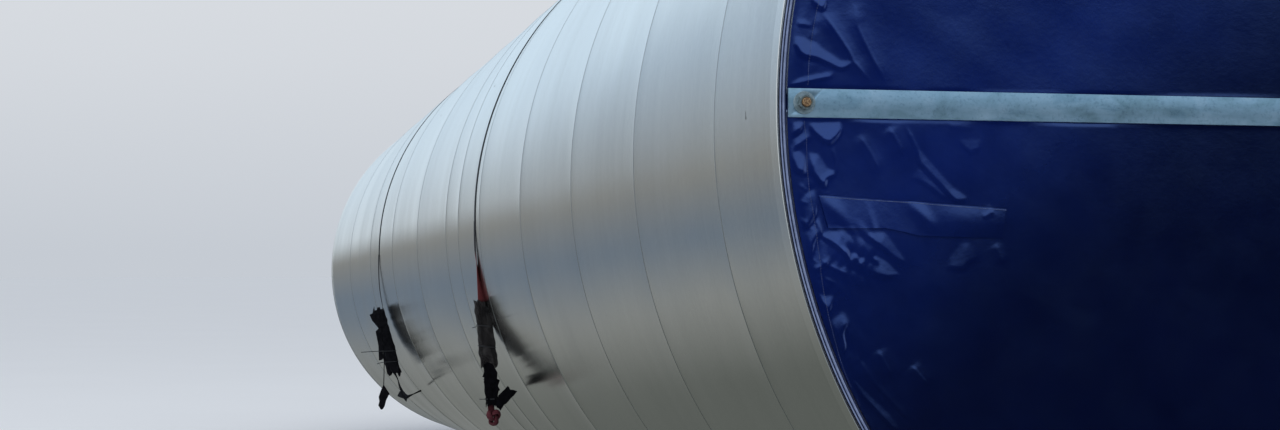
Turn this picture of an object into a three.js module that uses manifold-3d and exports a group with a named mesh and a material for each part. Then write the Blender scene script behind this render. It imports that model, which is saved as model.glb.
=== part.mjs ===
// Conical steel tower section of a wind turbine, lying on its side and closed for transport.
// Twelve rolled plate rings form the tapered shell, with a bolting flange at each end.
// A tarpaulin cover closes each end, clamped across the middle by a flat bar and two studs.
// Two webbing straps lie over the shell and hang down on both sides.
//
// Millimetres, +Z up. The two flanges rest on z = 0, with the shell's lowest line just above
// it. The axis runs along +Y from the large near end (at -Y) to the small far end, falling by
// the taper angle.
import * as THREE from "three";
import { mergeVertices } from "three/addons/utils/BufferGeometryUtils.js";
import Module from "manifold-3d";

// ---- driving dimensions -------------------------------------------------
const R_NEAR = 2150; // outer radius at the near end
const R_FAR = 1500; // outer radius at the far end
const LENGTH = 16500; // along the axis, flange face to flange face
const WALL = 20; // shell plate
const FACETS = 56; // flats round the shell, one of them at the bottom
const RING_09_FACETS = 40; // wider flats round ring 9
const GAP = 0.3; // between pieces that touch
// ring welds, measured along the axis from the near flange face
const WELDS = [894, 2367, 3853, 5371, 6870, 7774, 8357, 9877, 11406, 12995, 14706];

const NEAR_FLANGE = { depth: 90, width: 160 };
const FAR_FLANGE = { depth: 80, width: 140 };
const FLANGE_PROUD = 2; // machined rims of both flanges stand this far outside the plate

const COVER_T = 6; // tarpaulin cover with its hem
const COVER_INSET = 34; // from the rim to the edge of the flat cover
const EDGE_OUT = 5; // from the rim to the outside of the edge welt
const EDGE_IN = 31; // from the rim to the inside of the edge welt
const EDGE_T = 14; // how far the welt stands off the flange

const BAR_W = 95; // flat bar across each cover
const BAR_T = 10;
const BAR_ROLL = 0.34; // degrees that the near bar hangs off level
const BAR_RISE = 18; // its middle above the middle of the near end
const BOLT_INSET = 88; // stud centre from the rim
const STUD_R = 15;
const HOLE_R = 17;
const WASHER_R = 37.5;
const WASHER_T = 6;
const NUT_R = 26;
const NUT_T = 22;
const STUD_PROUD = 7; // stud beyond the nut
const STUD_SIDES = 12;

const FLAP = { x0: -2012, x1: -1360, z0: -395, z1: -272, t: 4 }; // sewn flap on the near cover

const STRAP_W = 50;
const STRAP_T = 5;
const SLEEVE_T = 34;
// Each strap: where it crosses the axis, and the route of a hanging end in three pieces,
// each point given as [shift towards the shell's middle, height above the floor, width].
// The web hangs edge-on to the near end, and the sleeve and the tail are turned to face it.
const STRAPS = [
  {
    name: "strap_near",
    s: 7050,
    web: [
      [0, 1868, 5],
      [0, 1780, 5],
      [-1, 1680, 5],
      [2, 1580, 5],
      [8, 1480, 5],
      [18, 1374, 5],
    ],
    webWide: STRAP_W,
    sleeve: [
      [26, 1369, 76],
      [35, 1300, 82],
      [44, 1227, 89],
      [54, 1155, 96],
      [64, 1085, 102],
      [80, 992, 97],
    ],
    tail: [
      [74, 988, 60],
      [82, 900, 76],
      [89, 800, 82],
      [95, 730, 74],
      [98, 655, 70],
    ],
    tailThick: 30,
  },
  {
    name: "strap_far",
    s: 12350,
    web: [
      [0, 1661, 5],
      [-1, 1580, 5],
      [0, 1500, 5],
      [6, 1420, 5],
      [14, 1340, 5],
      [22, 1270, 5],
      [28, 1216, 5],
    ],
    webWide: STRAP_W,
    sleeve: [
      [0, 1211, 90],
      [12, 1140, 108],
      [33, 1052, 118],
      [52, 970, 122],
      [74, 886, 124],
      [97, 810, 121],
      [120, 733, 118],
      [131, 690, 110],
    ],
    tail: [
      [146, 684, 18],
      [160, 640, 26],
      [182, 560, 48],
      [205, 500, 30],
    ],
    tailThick: 56,
    // a tag that hangs on a string beside the sleeve
    tag: [
      [33, 770, 6],
      [36, 640, 6],
      [38, 618, 30],
      [38, 560, 78],
      [44, 520, 62],
      [46, 440, 58],
      [46, 430, 40],
    ],
    tagThick: 18,
  },
];

// ---- derived dimensions -------------------------------------------------
const TAPER = (R_NEAR - R_FAR) / LENGTH;
const TILT = Math.atan(TAPER); // lays the lowest flat on the floor
const CORNER = 1 / Math.cos(Math.PI / FACETS); // flat to corner radius
const radiusAt = (s) => R_NEAR - TAPER * s;

const wasm = await Module();
wasm.setup();

// ---- materials ----------------------------------------------------------
const mat = (color, roughness, metalness) =>
  new THREE.MeshStandardMaterial({ color, roughness, metalness });
const MAT = {
  shell: mat(0xa9b0b0, 0.42, 0.85),
  flange: mat(0x9aa0a2, 0.45, 0.85),
  cover: mat(0x1b2c78, 0.35, 0),
  edge: mat(0x55628f, 0.4, 0),
  bar: mat(0x8ea3ad, 0.45, 0.8),
  stud: mat(0x8a979a, 0.4, 0.8),
  webbing: mat(0x8a2420, 0.85, 0),
  sleeve: mat(0x15161a, 0.6, 0),
};

// ---- helpers ------------------------------------------------------------
const section = new THREE.Group(); // the section's own frame: axis along +Y from the near face
section.name = "section";

function add(name, geometry, material, parent = section) {
  const mesh = new THREE.Mesh(geometry, material);
  mesh.name = name;
  parent.add(mesh);
  return mesh;
}

// A ring or disc turned about the Y axis from [radius to the flats, s] points.
function turned(points, sides = FACETS, corner = 1 / Math.cos(Math.PI / sides)) {
  const profile = points.map(([r, s]) => new THREE.Vector2(r * corner, s));
  return new THREE.LatheGeometry(profile, sides, Math.PI / sides);
}

function solidOf(geometry) {
  const g = geometry.clone();
  g.deleteAttribute("normal");
  g.deleteAttribute("uv");
  const merged = mergeVertices(g, 1e-3);
  return new wasm.Manifold(
    new wasm.Mesh({
      numProp: 3,
      vertProperties: new Float32Array(merged.attributes.position.array),
      triVerts: new Uint32Array(merged.index.array),
    }),
  );
}

function geometryOf(solid) {
  const mesh = solid.getMesh();
  const g = new THREE.BufferGeometry();
  g.setAttribute(
    "position",
    new THREE.BufferAttribute(new Float32Array(mesh.vertProperties), 3),
  );
  g.setIndex(new THREE.BufferAttribute(new Uint32Array(mesh.triVerts), 1));
  g.computeVertexNormals();
  return g;
}

// Drills round holes along Y through a geometry at [x, z] centres.
function drilled(geometry, centres, radius, s0, s1) {
  let solid = solidOf(geometry);
  for (const [x, z] of centres) {
    const drill = new THREE.CylinderGeometry(radius, radius, s1 - s0, STUD_SIDES);
    drill.translate(x, (s0 + s1) / 2, z);
    solid = solid.subtract(solidOf(drill));
  }
  return geometryOf(solid);
}

// A hollow ring of the shell between two places on the axis.
function shellRing(s0, s1, inner0, inner1, proud = 0, sides = FACETS) {
  const loop = [
    [inner0, s0],
    [inner1, s1],
    [radiusAt(s1) + proud, s1],
    [radiusAt(s0) + proud, s0],
    [inner0, s0],
  ];
  return turned(loop.reverse(), sides);
}

// ---- shell rings and flanges --------------------------------------------
const studs = (radius, roll, rise) => {
  const c = Math.cos(roll);
  const d = Math.sin(roll);
  return [
    [-radius * c, rise + radius * d],
    [radius * c, rise - radius * d],
  ];
};
const ROLL = THREE.MathUtils.degToRad(BAR_ROLL);
const nearStuds = studs(R_NEAR - BOLT_INSET, ROLL, BAR_RISE);
const farStuds = studs(R_FAR - BOLT_INSET, 0, 0);

const edges = [
  NEAR_FLANGE.depth,
  ...WELDS,
  LENGTH - FAR_FLANGE.depth,
];
for (let i = 0; i + 1 < edges.length; i++) {
  const s0 = edges[i] + GAP / 2;
  const s1 = edges[i + 1] - GAP / 2;
  add(
    `shell_ring_${String(i + 1).padStart(2, "0")}`,
    shellRing(
      s0,
      s1,
      radiusAt(s0) - WALL,
      radiusAt(s1) - WALL,
      0,
      i === 8 ? RING_09_FACETS : FACETS,
    ),
    MAT.shell,
  );
}

{
  const d = NEAR_FLANGE.depth - GAP / 2;
  const inner = R_NEAR - NEAR_FLANGE.width;
  add(
    "near_flange",
    drilled(shellRing(0, d, inner, inner, FLANGE_PROUD), nearStuds, HOLE_R, -5, d + 5),
    MAT.flange,
  );
  const f0 = LENGTH - FAR_FLANGE.depth + GAP / 2;
  const innerFar = R_FAR - FAR_FLANGE.width;
  add(
    "far_flange",
    drilled(
      shellRing(f0, LENGTH, innerFar, innerFar, FLANGE_PROUD),
      farStuds,
      HOLE_R,
      f0 - 5,
      LENGTH + 5,
    ),
    MAT.flange,
  );
}

// ---- end closures -------------------------------------------------------
// Built for an end whose face is at s = 0 and looks towards -s, then turned about for the far end.
function closure(end, rim, depth, centres, roll, rise) {
  const far = end === "far";
  const face = new THREE.Group();
  if (far) {
    face.position.y = LENGTH;
    face.rotation.z = Math.PI;
  }
  section.add(face);

  const c0 = -GAP - COVER_T;
  add(
    `${end}_cover`,
    drilled(
      turned([
        [0, c0],
        [rim - COVER_INSET, c0],
        [rim - COVER_INSET, -GAP],
        [0, -GAP],
      ]),
      centres,
      HOLE_R,
      c0 - 5,
      5,
    ),
    MAT.cover,
    face,
  );
  add(
    `${end}_cover_edge`,
    turned([
      [rim - EDGE_IN, -GAP],
      [rim - EDGE_IN, -GAP - EDGE_T],
      [rim - EDGE_OUT, -GAP - EDGE_T],
      [rim - EDGE_OUT, -GAP],
      [rim - EDGE_IN, -GAP],
    ]),
    MAT.edge,
    face,
  );

  const b1 = c0 - GAP;
  const b0 = b1 - BAR_T;
  const bar = new THREE.BoxGeometry(2 * (rim - COVER_INSET - 1), BAR_T, BAR_W);
  bar.rotateY(roll);
  bar.translate(0, (b0 + b1) / 2, rise);
  add(`${end}_bar`, drilled(bar, centres, HOLE_R, b0 - 5, b1 + 5), MAT.bar, face);

  // stud with its washer and nut outside, and its nut behind the flange
  const w1 = b0 - GAP;
  const w0 = w1 - WASHER_T;
  const n0 = w0 - NUT_T;
  const back = depth + GAP;
  const profile = [
    [0, n0 - STUD_PROUD],
    [STUD_R, n0 - STUD_PROUD],
    [STUD_R, n0],
    [NUT_R, n0],
    [NUT_R, w0],
    [WASHER_R, w0],
    [WASHER_R, w1],
    [STUD_R, w1],
    [STUD_R, back],
    [NUT_R, back],
    [NUT_R, back + NUT_T],
    [0, back + NUT_T],
  ];
  centres.forEach(([x, z], i) => {
    const stud = turned(profile, STUD_SIDES, 1);
    const side = (i === 0) !== far ? "left" : "right";
    const mesh = add(`${end}_stud_${side}`, stud, MAT.stud, face);
    mesh.position.set(x, 0, z);
  });
  return b0;
}
closure("near", R_NEAR, NEAR_FLANGE.depth, nearStuds, ROLL, BAR_RISE);
closure("far", R_FAR, FAR_FLANGE.depth, farStuds, 0, 0);

{
  const flap = new THREE.BoxGeometry(FLAP.x1 - FLAP.x0, FLAP.t, FLAP.z1 - FLAP.z0);
  flap.translate(
    (FLAP.x0 + FLAP.x1) / 2,
    -2 * GAP - COVER_T - FLAP.t / 2,
    (FLAP.z0 + FLAP.z1) / 2,
  );
  add("near_cover_flap", flap, MAT.cover);
}

// ---- straps -------------------------------------------------------------
// A band over the upper half of the shell, its inside flat on the shell's flats.
function band(s) {
  const inside = radiusAt(s - STRAP_W / 2) + GAP;
  const outside = inside + STRAP_T;
  const loop = [];
  const arc = (r) => {
    const pts = [[r, 0]];
    for (let i = 0; i < FACETS / 2; i++) {
      const a = (Math.PI / FACETS) * (2 * i + 1);
      pts.push([r * CORNER * Math.cos(a), r * CORNER * Math.sin(a)]);
    }
    pts.push([-r, 0]);
    return pts;
  };
  loop.push(...arc(outside), ...arc(inside).reverse());
  const shape = new THREE.Shape(loop.map(([x, z]) => new THREE.Vector2(x, z)));
  const g = new THREE.ExtrudeGeometry(shape, { depth: STRAP_W, bevelEnabled: false });
  g.rotateX(Math.PI / 2);
  g.translate(0, s + STRAP_W / 2, 0);
  return g;
}

// A strip that hangs in an X-Z plane along [x, z, width across] points, deep along Y.
function strip(points, deep, y) {
  const left = [];
  const right = [];
  points.forEach(([x, z, wide], i) => {
    const [ax, az] = points[Math.max(i - 1, 0)];
    const [bx, bz] = points[Math.min(i + 1, points.length - 1)];
    const l = Math.hypot(bx - ax, bz - az);
    const nx = (-(bz - az) / l) * (wide / 2);
    const nz = ((bx - ax) / l) * (wide / 2);
    left.push(new THREE.Vector2(x + nx, z + nz));
    right.push(new THREE.Vector2(x - nx, z - nz));
  });
  const shape = new THREE.Shape([...left, ...right.reverse()]);
  const g = new THREE.ExtrudeGeometry(shape, { depth: deep, bevelEnabled: false });
  g.rotateX(Math.PI / 2);
  g.translate(0, y + deep / 2, 0);
  return g;
}

const part = new THREE.Group();
part.name = "tower_section";
part.add(section);

// the section is laid down on the lowest flats of its flanges
const SHIFT_Y = (-LENGTH * Math.cos(TILT)) / 2;
const SHIFT_Z = (R_NEAR + FLANGE_PROUD) * Math.cos(TILT);
section.rotation.x = -TILT;
section.position.set(0, SHIFT_Y, SHIFT_Z);

for (const strap of STRAPS) {
  add(`${strap.name}_band`, band(strap.s), MAT.sleeve);

  // the hanging ends leave the band where the shell is widest
  const reach = radiusAt(strap.s - STRAP_W / 2) + GAP + STRAP_T / 2;
  const y = strap.s * Math.cos(TILT) + SHIFT_Y;
  const zTop = SHIFT_Z - strap.s * Math.sin(TILT) - STRAP_W * Math.sin(TILT) - GAP;
  for (const [side, sign] of [
    ["left", -1],
    ["right", 1],
  ]) {
    const hang = (piece, route, deep, material) =>
      add(
        `${strap.name}_${side}_${piece}`,
        strip(
          route.map(([shift, z, wide]) => [sign * (reach - shift), Math.min(z, zTop), wide]),
          deep,
          y,
        ),
        material,
        part,
      );
    hang("web", strap.web, strap.webWide, MAT.webbing);
    hang("sleeve", strap.sleeve, SLEEVE_T, MAT.sleeve);
    hang("tail", strap.tail, strap.tailThick, MAT.sleeve);
    if (strap.tag) hang("tag", strap.tag, strap.tagThick, MAT.sleeve);
  }
}

// the middle of the whole length goes to y = 0
const box = new THREE.Box3().setFromObject(part, true);
part.position.y = -(box.min.y + box.max.y) / 2;

export default part;
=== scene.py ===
"""Looks of a conical steel tower section lying on its side, closed with tarpaulin covers.

Metres, +Z up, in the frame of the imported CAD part. The axis runs along +Y from the large
near end to the small far end and falls by the taper angle.
"""

import math

import bpy
import numpy as np
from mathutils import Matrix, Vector


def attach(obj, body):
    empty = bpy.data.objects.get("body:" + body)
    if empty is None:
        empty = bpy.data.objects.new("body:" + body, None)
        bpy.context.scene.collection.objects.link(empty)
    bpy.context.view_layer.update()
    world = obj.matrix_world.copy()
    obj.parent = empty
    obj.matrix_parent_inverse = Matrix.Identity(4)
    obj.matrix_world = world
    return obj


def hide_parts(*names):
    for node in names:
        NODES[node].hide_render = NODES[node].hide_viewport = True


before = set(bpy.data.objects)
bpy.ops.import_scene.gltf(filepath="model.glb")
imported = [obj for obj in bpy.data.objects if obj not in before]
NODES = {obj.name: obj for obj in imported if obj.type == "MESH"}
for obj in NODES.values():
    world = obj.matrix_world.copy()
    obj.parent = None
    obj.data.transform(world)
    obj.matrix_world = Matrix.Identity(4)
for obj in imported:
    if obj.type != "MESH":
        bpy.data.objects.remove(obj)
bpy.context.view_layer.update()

# ---- dimensions ----------------------------------------------------------
R_NEAR, R_FAR, LENGTH = 2.150, 1.500, 16.5
TAPER = (R_NEAR - R_FAR) / LENGTH
TILT = math.atan(TAPER)
CT, ST = math.cos(TILT), math.sin(TILT)
Y0, Z0 = -8.230812818573453, 2.1503321154916716
WALL = 0.020
PROUD = 0.002
WELDS = [0.894, 2.367, 3.853, 5.371, 6.870, 7.774, 8.357, 9.877, 11.406, 12.995, 14.706]
NEAR_DEPTH, NEAR_WIDTH = 0.090, 0.160
FAR_DEPTH, FAR_WIDTH = 0.080, 0.140
STRAP_W = 0.050
ROLL = math.radians(0.34)
RISE = 0.018
BOLT_IN = 0.088


def radius(s):
    return R_NEAR - TAPER * s


def place(x, s, z):
    """Section frame (x, along the axis, z) to the row frame."""
    x, s, z = np.broadcast_arrays(*(np.asarray(a, float) for a in (x, s, z)))
    return np.stack([x, s * CT + z * ST + Y0, -s * ST + z * CT + Z0], -1)


# ---- camera --------------------------------------------------------------
cam_data = bpy.data.cameras.new("camera")
cam_data.lens = 76.323
cam_data.sensor_width = 36
cam_data.clip_end = 400
cam = bpy.data.objects.new("camera", cam_data)
cam.location = (-4.69695, -16.74438, 1.69976)
cam.rotation_euler = (math.radians(90.734), 0, math.radians(-13.765))
bpy.context.scene.collection.objects.link(cam)
bpy.context.scene.camera = cam


# ---- materials -----------------------------------------------------------
class Look:
    """A procedural material around one Principled shader."""

    def __init__(self, name, base, rough, metal=0.0, **sockets):
        self.m = bpy.data.materials.new(name)
        self.m.use_nodes = True
        self.n = self.m.node_tree.nodes
        self.l = self.m.node_tree.links
        self.b = self.n["Principled BSDF"]
        self.b.inputs["Base Color"].default_value = (*base, 1)
        self.b.inputs["Roughness"].default_value = rough
        self.b.inputs["Metallic"].default_value = metal
        for k, v in sockets.items():
            self.b.inputs[k.replace("_", " ")].default_value = v

    def coords(self, scale=(1, 1, 1), uv=False, rotation=(0, 0, 0)):
        c = self.n.new("ShaderNodeTexCoord")
        m = self.n.new("ShaderNodeMapping")
        m.inputs["Scale"].default_value = scale
        m.inputs["Rotation"].default_value = rotation
        self.l.new(c.outputs["UV" if uv else "Object"], m.inputs["Vector"])
        return m.outputs["Vector"]

    def noise(self, vector, scale=1.0, detail=4.0, rough=0.5, distortion=0.0):
        t = self.n.new("ShaderNodeTexNoise")
        t.inputs["Scale"].default_value = scale
        t.inputs["Detail"].default_value = detail
        t.inputs["Roughness"].default_value = rough
        t.inputs["Distortion"].default_value = distortion
        self.l.new(vector, t.inputs["Vector"])
        return t.outputs["Fac"]

    def ramp(self, fac, stops, ease="LINEAR"):
        r = self.n.new("ShaderNodeValToRGB")
        r.color_ramp.interpolation = ease
        e = r.color_ramp.elements
        while len(e) > 1:
            e.remove(e[-1])
        e[0].position = stops[0][0]
        e[0].color = (*stops[0][1], 1)
        for p, c in stops[1:]:
            e.new(p).color = (*c, 1)
        self.l.new(fac, r.inputs["Fac"])
        return r.outputs["Color"]

    def span(self, fac, lo, hi, a=0.3, b=0.7):
        m = self.n.new("ShaderNodeMapRange")
        m.inputs["From Min"].default_value = a
        m.inputs["From Max"].default_value = b
        m.inputs["To Min"].default_value = lo
        m.inputs["To Max"].default_value = hi
        self.l.new(fac, m.inputs["Value"])
        return m.outputs["Result"]

    def multiply(self, a, b, fac=1.0):
        m = self.n.new("ShaderNodeMix")
        m.data_type = "RGBA"
        m.blend_type = "MULTIPLY"
        m.inputs["Factor"].default_value = fac
        self.l.new(a, m.inputs["A"])
        self.l.new(b, m.inputs["B"])
        return m.outputs["Result"]

    def bump(self, height, strength, distance):
        b = self.n.new("ShaderNodeBump")
        b.inputs["Strength"].default_value = strength
        b.inputs["Distance"].default_value = distance
        self.l.new(height, b.inputs["Height"])
        self.l.new(b.outputs["Normal"], self.b.inputs["Normal"])

    def along(self, direction, add=0.0):
        """Distance along a direction of the piece's own frame, plus a constant."""
        c = self.n.new("ShaderNodeTexCoord")
        d = self.n.new("ShaderNodeVectorMath")
        d.operation = "DOT_PRODUCT"
        d.inputs[1].default_value = direction
        self.l.new(c.outputs["Object"], d.inputs[0])
        a = self.n.new("ShaderNodeMath")
        a.inputs[1].default_value = add
        self.l.new(d.outputs["Value"], a.inputs[0])
        return a.outputs[0]

    def put(self, out, socket):
        self.l.new(out, self.b.inputs[socket])


def grey(v):
    return (v, v, v)


def make_shell():
    k = Look("shell_steel", (0.86, 0.87, 0.86), 0.12, 1.0)
    around = k.noise(k.coords((5, 55, 1), uv=True), 1.0, 5, 0.6)
    cloud = k.noise(k.coords((1, 1, 1)), 0.9, 4, 0.55)
    tone = k.ramp(around, [(0.3, (0.86, 0.87, 0.86)), (0.7, (0.93, 0.935, 0.93))])
    dull = k.ramp(cloud, [(0.3, (0.90, 0.905, 0.91)), (0.7, (1.0, 1.0, 0.99))])
    lines = k.ramp(
        k.noise(k.coords((9, 640, 1), uv=True), 1.0, 3, 0.55),
        [(0.32, (0.962, 0.962, 0.96)), (0.68, (1.0, 1.0, 1.0))],
    )
    grain = k.ramp(
        k.noise(k.coords((1, 1, 1)), 42, 3, 0.6), [(0.35, (0.955, 0.955, 0.96)), (0.65, (1.0, 1.0, 0.995))]
    )
    k.put(k.multiply(k.multiply(k.multiply(tone, dull), lines), grain), "Base Color")
    k.put(k.span(k.noise(k.coords((2, 20, 1), uv=True), 1.0, 4, 0.5), 0.13, 0.20), "Roughness")
    fine = k.noise(k.coords((12, 420, 1), uv=True), 1.0, 3, 0.5)
    k.bump(fine, 0.04, 0.0004)
    return k.m


def make_flange():
    k = Look("flange_steel", (0.90, 0.91, 0.90), 0.15, 1.0)
    n = k.noise(k.coords((1, 1, 1)), 1.3, 4, 0.55)
    grain = k.ramp(
        k.noise(k.coords((1, 1, 1)), 42, 3, 0.6), [(0.35, (0.96, 0.96, 0.965)), (0.65, (1.0, 1.0, 0.995))]
    )
    k.put(k.multiply(k.ramp(n, [(0.3, (0.87, 0.88, 0.88)), (0.7, (0.95, 0.955, 0.94))]), grain), "Base Color")
    k.put(k.span(n, 0.17, 0.23), "Roughness")
    return k.m


def make_weld():
    k = Look("weld_steel", (0.5, 0.53, 0.54), 0.26, 1.0)
    n = k.noise(k.coords((1, 1, 1)), 5, 3, 0.6)
    k.put(k.ramp(n, [(0.3, (0.44, 0.47, 0.48)), (0.7, (0.56, 0.59, 0.60))]), "Base Color")
    k.put(k.span(n, 0.34, 0.42), "Roughness")
    return k.m


def make_mark():
    k = Look("scuff", (0.02, 0.022, 0.024), 0.6)
    n = k.noise(k.coords((1, 1, 1)), 200, 3, 0.6)
    k.put(k.ramp(n, [(0.3, (0.012, 0.012, 0.014)), (0.7, (0.05, 0.05, 0.05))]), "Base Color")
    return k.m


def make_cover():
    k = Look(
        "cover_tarpaulin", (0.005, 0.013, 0.10), 0.15, 0.0,
        IOR=1.75, Specular_IOR_Level=1.0, Specular_Tint=(0.24, 0.38, 0.85, 1),
    )
    cloud = k.noise(k.coords((1, 1, 1)), 2.2, 5, 0.6)
    tone = k.ramp(cloud, [(0.32, (0.0020, 0.0092, 0.086)), (0.7, (0.0046, 0.0150, 0.120))])
    # painted shadow: darker and duller towards the lower right, away from the upper left edge
    painted_shadow = k.ramp(
        k.along((0.35 / 2.5, 0, -0.42 / 2.5), (0.35 * 2.1 + 0.42 * 2.5) / 2.5),
        [(0.0, (1.0, 1.0, 1.0)), (0.16, (1.0, 1.0, 1.0)), (0.20, (0.84, 0.80, 0.74)), (0.245, (0.56, 0.48, 0.42)),
         (0.29, (0.44, 0.33, 0.26)), (0.5, (0.38, 0.28, 0.22)), (1.0, (0.36, 0.26, 0.20))],
    )
    haze = k.ramp(
        k.noise(k.coords((1, 1, 1)), 7.5, 5, 0.62), [(0.35, (0.84, 0.86, 0.88)), (0.68, (1.12, 1.10, 1.06))]
    )
    k.put(k.multiply(k.multiply(tone, painted_shadow), haze), "Base Color")
    k.put(k.span(k.noise(k.coords((1, 1, 1)), 9, 4, 0.6), 0.11, 0.18), "Roughness")
    k.bump(k.noise(k.coords((1, 1, 1)), 48, 5, 0.65), 0.14, 0.003)
    return k.m


def make_edge(name, dark, light, rough):
    k = Look(name, light, rough)
    n = k.noise(k.coords((1, 1, 1)), 26, 4, 0.6)
    k.put(k.ramp(n, [(0.3, dark), (0.7, light)]), "Base Color")
    return k.m


def make_stitch():
    k = Look("stitch_thread", (0.08, 0.11, 0.24), 0.6)
    n = k.noise(k.coords((1, 1, 1)), 40, 3, 0.6)
    k.put(k.ramp(n, [(0.3, (0.035, 0.055, 0.14)), (0.7, (0.14, 0.18, 0.33))]), "Base Color")
    return k.m


def make_bar():
    k = Look("bar_zinc", (0.25, 0.41, 0.54), 0.42, 0.55)
    big = k.noise(k.coords((1, 1, 1.6)), 7, 5, 0.6, 0.4)
    fine = k.noise(k.coords((1, 1, 1)), 95, 4, 0.65)
    tone = k.ramp(big, [(0.32, (0.17, 0.30, 0.38)), (0.5, (0.245, 0.405, 0.53)), (0.72, (0.33, 0.49, 0.62))])
    specks = k.ramp(fine, [(0.3, (0.62, 0.68, 0.72)), (0.46, grey(0.97)), (0.7, grey(1.0))])
    smear = k.ramp(
        k.noise(k.coords((1.2, 1, 5)), 4.5, 5, 0.6, 0.6), [(0.34, (0.62, 0.72, 0.76)), (0.46, grey(1.0)), (0.8, grey(1.0))]
    )
    # painted highlight: up to a fifth lighter along the lower edge of the bar, a shade darker at the top
    edge = k.ramp(
        k.along((math.tan(ROLL) / 0.095, 0, 1 / 0.095), -(Z0 + RISE) / 0.095 + 0.5),
        [(0.0, grey(1.0)), (0.02, grey(1.22)), (0.16, grey(1.16)), (0.30, grey(1.0)), (1.0, grey(0.97))],
    )
    k.put(k.multiply(k.multiply(k.multiply(tone, specks, 0.8), smear, 0.6), edge), "Base Color")
    k.put(k.span(big, 0.32, 0.5), "Roughness")
    k.bump(fine, 0.12, 0.0008)
    return k.m


# painted highlight: a lighter zinc for the bar's chamfered edges and end faces
def make_bar_edge_highlight():
    k = Look("bar_edge_painted_highlight", (0.5, 0.62, 0.7), 0.4, 0.3)
    n = k.noise(k.coords((1, 1, 1)), 60, 4, 0.6)
    k.put(k.ramp(n, [(0.35, (0.36, 0.47, 0.55)), (0.65, (0.62, 0.72, 0.78))]), "Base Color")
    return k.m


def make_washer():
    k = Look("washer_zinc", (0.3, 0.4, 0.44), 0.35, 0.6)
    n = k.noise(k.coords((1, 1, 1)), 90, 4, 0.6)
    k.put(k.ramp(n, [(0.3, (0.20, 0.29, 0.32)), (0.7, (0.40, 0.50, 0.55))]), "Base Color")
    return k.m


def make_nut():
    k = Look("nut_zinc", (0.2, 0.25, 0.25), 0.33, 0.8)
    n = k.noise(k.coords((1, 1, 1)), 110, 4, 0.6)
    k.put(k.ramp(n, [(0.3, (0.13, 0.17, 0.17)), (0.7, (0.38, 0.44, 0.44))]), "Base Color")
    return k.m


def make_stud():
    k = Look("stud_rust", (0.34, 0.22, 0.11), 0.5, 0.5)
    n = k.noise(k.coords((1, 1, 1)), 160, 4, 0.6)
    k.put(k.ramp(n, [(0.32, (0.07, 0.035, 0.02)), (0.5, (0.28, 0.16, 0.08)), (0.7, (0.62, 0.46, 0.26))]), "Base Color")
    return k.m


def make_cloth(name, dark, light, rough, scale=260, bump=0.4, gloss=0.5):
    k = Look(name, dark, rough, 0.0, Specular_IOR_Level=gloss)
    n = k.noise(k.coords((1, 1, 1)), scale, 3, 0.6)
    k.put(k.ramp(n, [(0.3, dark), (0.7, light)]), "Base Color")
    k.bump(n, bump, 0.0008)
    return k.m


def make_red():
    """Red webbing: slate at the top and near-black in the middle, painted shade where it lies edge-on and where it runs
    inside the sleeve and wrap; darker red at the knot.
    """
    k = Look("web_red", (0.2, 0.03, 0.03), 0.8, 0.0, Specular_IOR_Level=0.25)
    h = k.along((0, 0, 1 / 1.4), -0.6 / 1.4)
    # painted shade by height: slate at the top, near-black inside the sleeve and wrap, red between
    tone = k.ramp(
        h,
        [(0.0, (0.085, 0.018, 0.026)), (0.17, (0.10, 0.02, 0.026)), (0.20, (0.012, 0.007, 0.009)), (0.565, (0.02, 0.008, 0.009)),
         (0.58, (0.17, 0.034, 0.036)), (0.70, (0.21, 0.042, 0.044)), (0.745, (0.15, 0.038, 0.042)), (0.78, (0.022, 0.022, 0.027)),
         (1.0, (0.018, 0.022, 0.027))],
    )
    n = k.noise(k.coords((1, 1, 1)), 210, 3, 0.6)
    k.put(k.multiply(tone, k.ramp(n, [(0.3, grey(0.62)), (0.7, grey(1.15))])), "Base Color")
    k.bump(n, 0.4, 0.0008)
    return k.m


def make_film():
    k = Look("sleeve_film", (0.03, 0.026, 0.026), 0.4, 0.0, Alpha=0.72, Specular_IOR_Level=0.3)
    n = k.noise(k.coords((1, 1, 0.6)), 26, 5, 0.6, 0.5)
    k.put(k.ramp(n, [(0.34, (0.007, 0.006, 0.007)), (0.55, (0.022, 0.019, 0.019)), (0.76, (0.085, 0.08, 0.078))]), "Base Color")
    k.bump(n, 0.5, 0.004)
    return k.m


M_SHELL = make_shell()
M_FLANGE = make_flange()
M_WELD = make_weld()
M_MARK = make_mark()
M_COVER = make_cover()
M_EDGE = make_edge("edge_mid", (0.045, 0.07, 0.15), (0.085, 0.125, 0.23), 0.32)
M_EDGE_HIGHLIGHT = make_edge("edge_cord_painted_highlight", (0.16, 0.20, 0.34), (0.27, 0.33, 0.50), 0.28)
M_EDGE_DARK = make_edge("edge_navy", (0.006, 0.014, 0.06), (0.016, 0.03, 0.105), 0.35)
M_EDGE_SHADOW = make_edge("edge_groove_painted_shadow", (0.002, 0.004, 0.012), (0.006, 0.010, 0.028), 0.6)
M_STITCH = make_stitch()
M_BAR = make_bar()
M_BAR_EDGE_HIGHLIGHT = make_bar_edge_highlight()
M_WASHER = make_washer()
M_NUT = make_nut()
M_STUD = make_stud()
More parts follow.
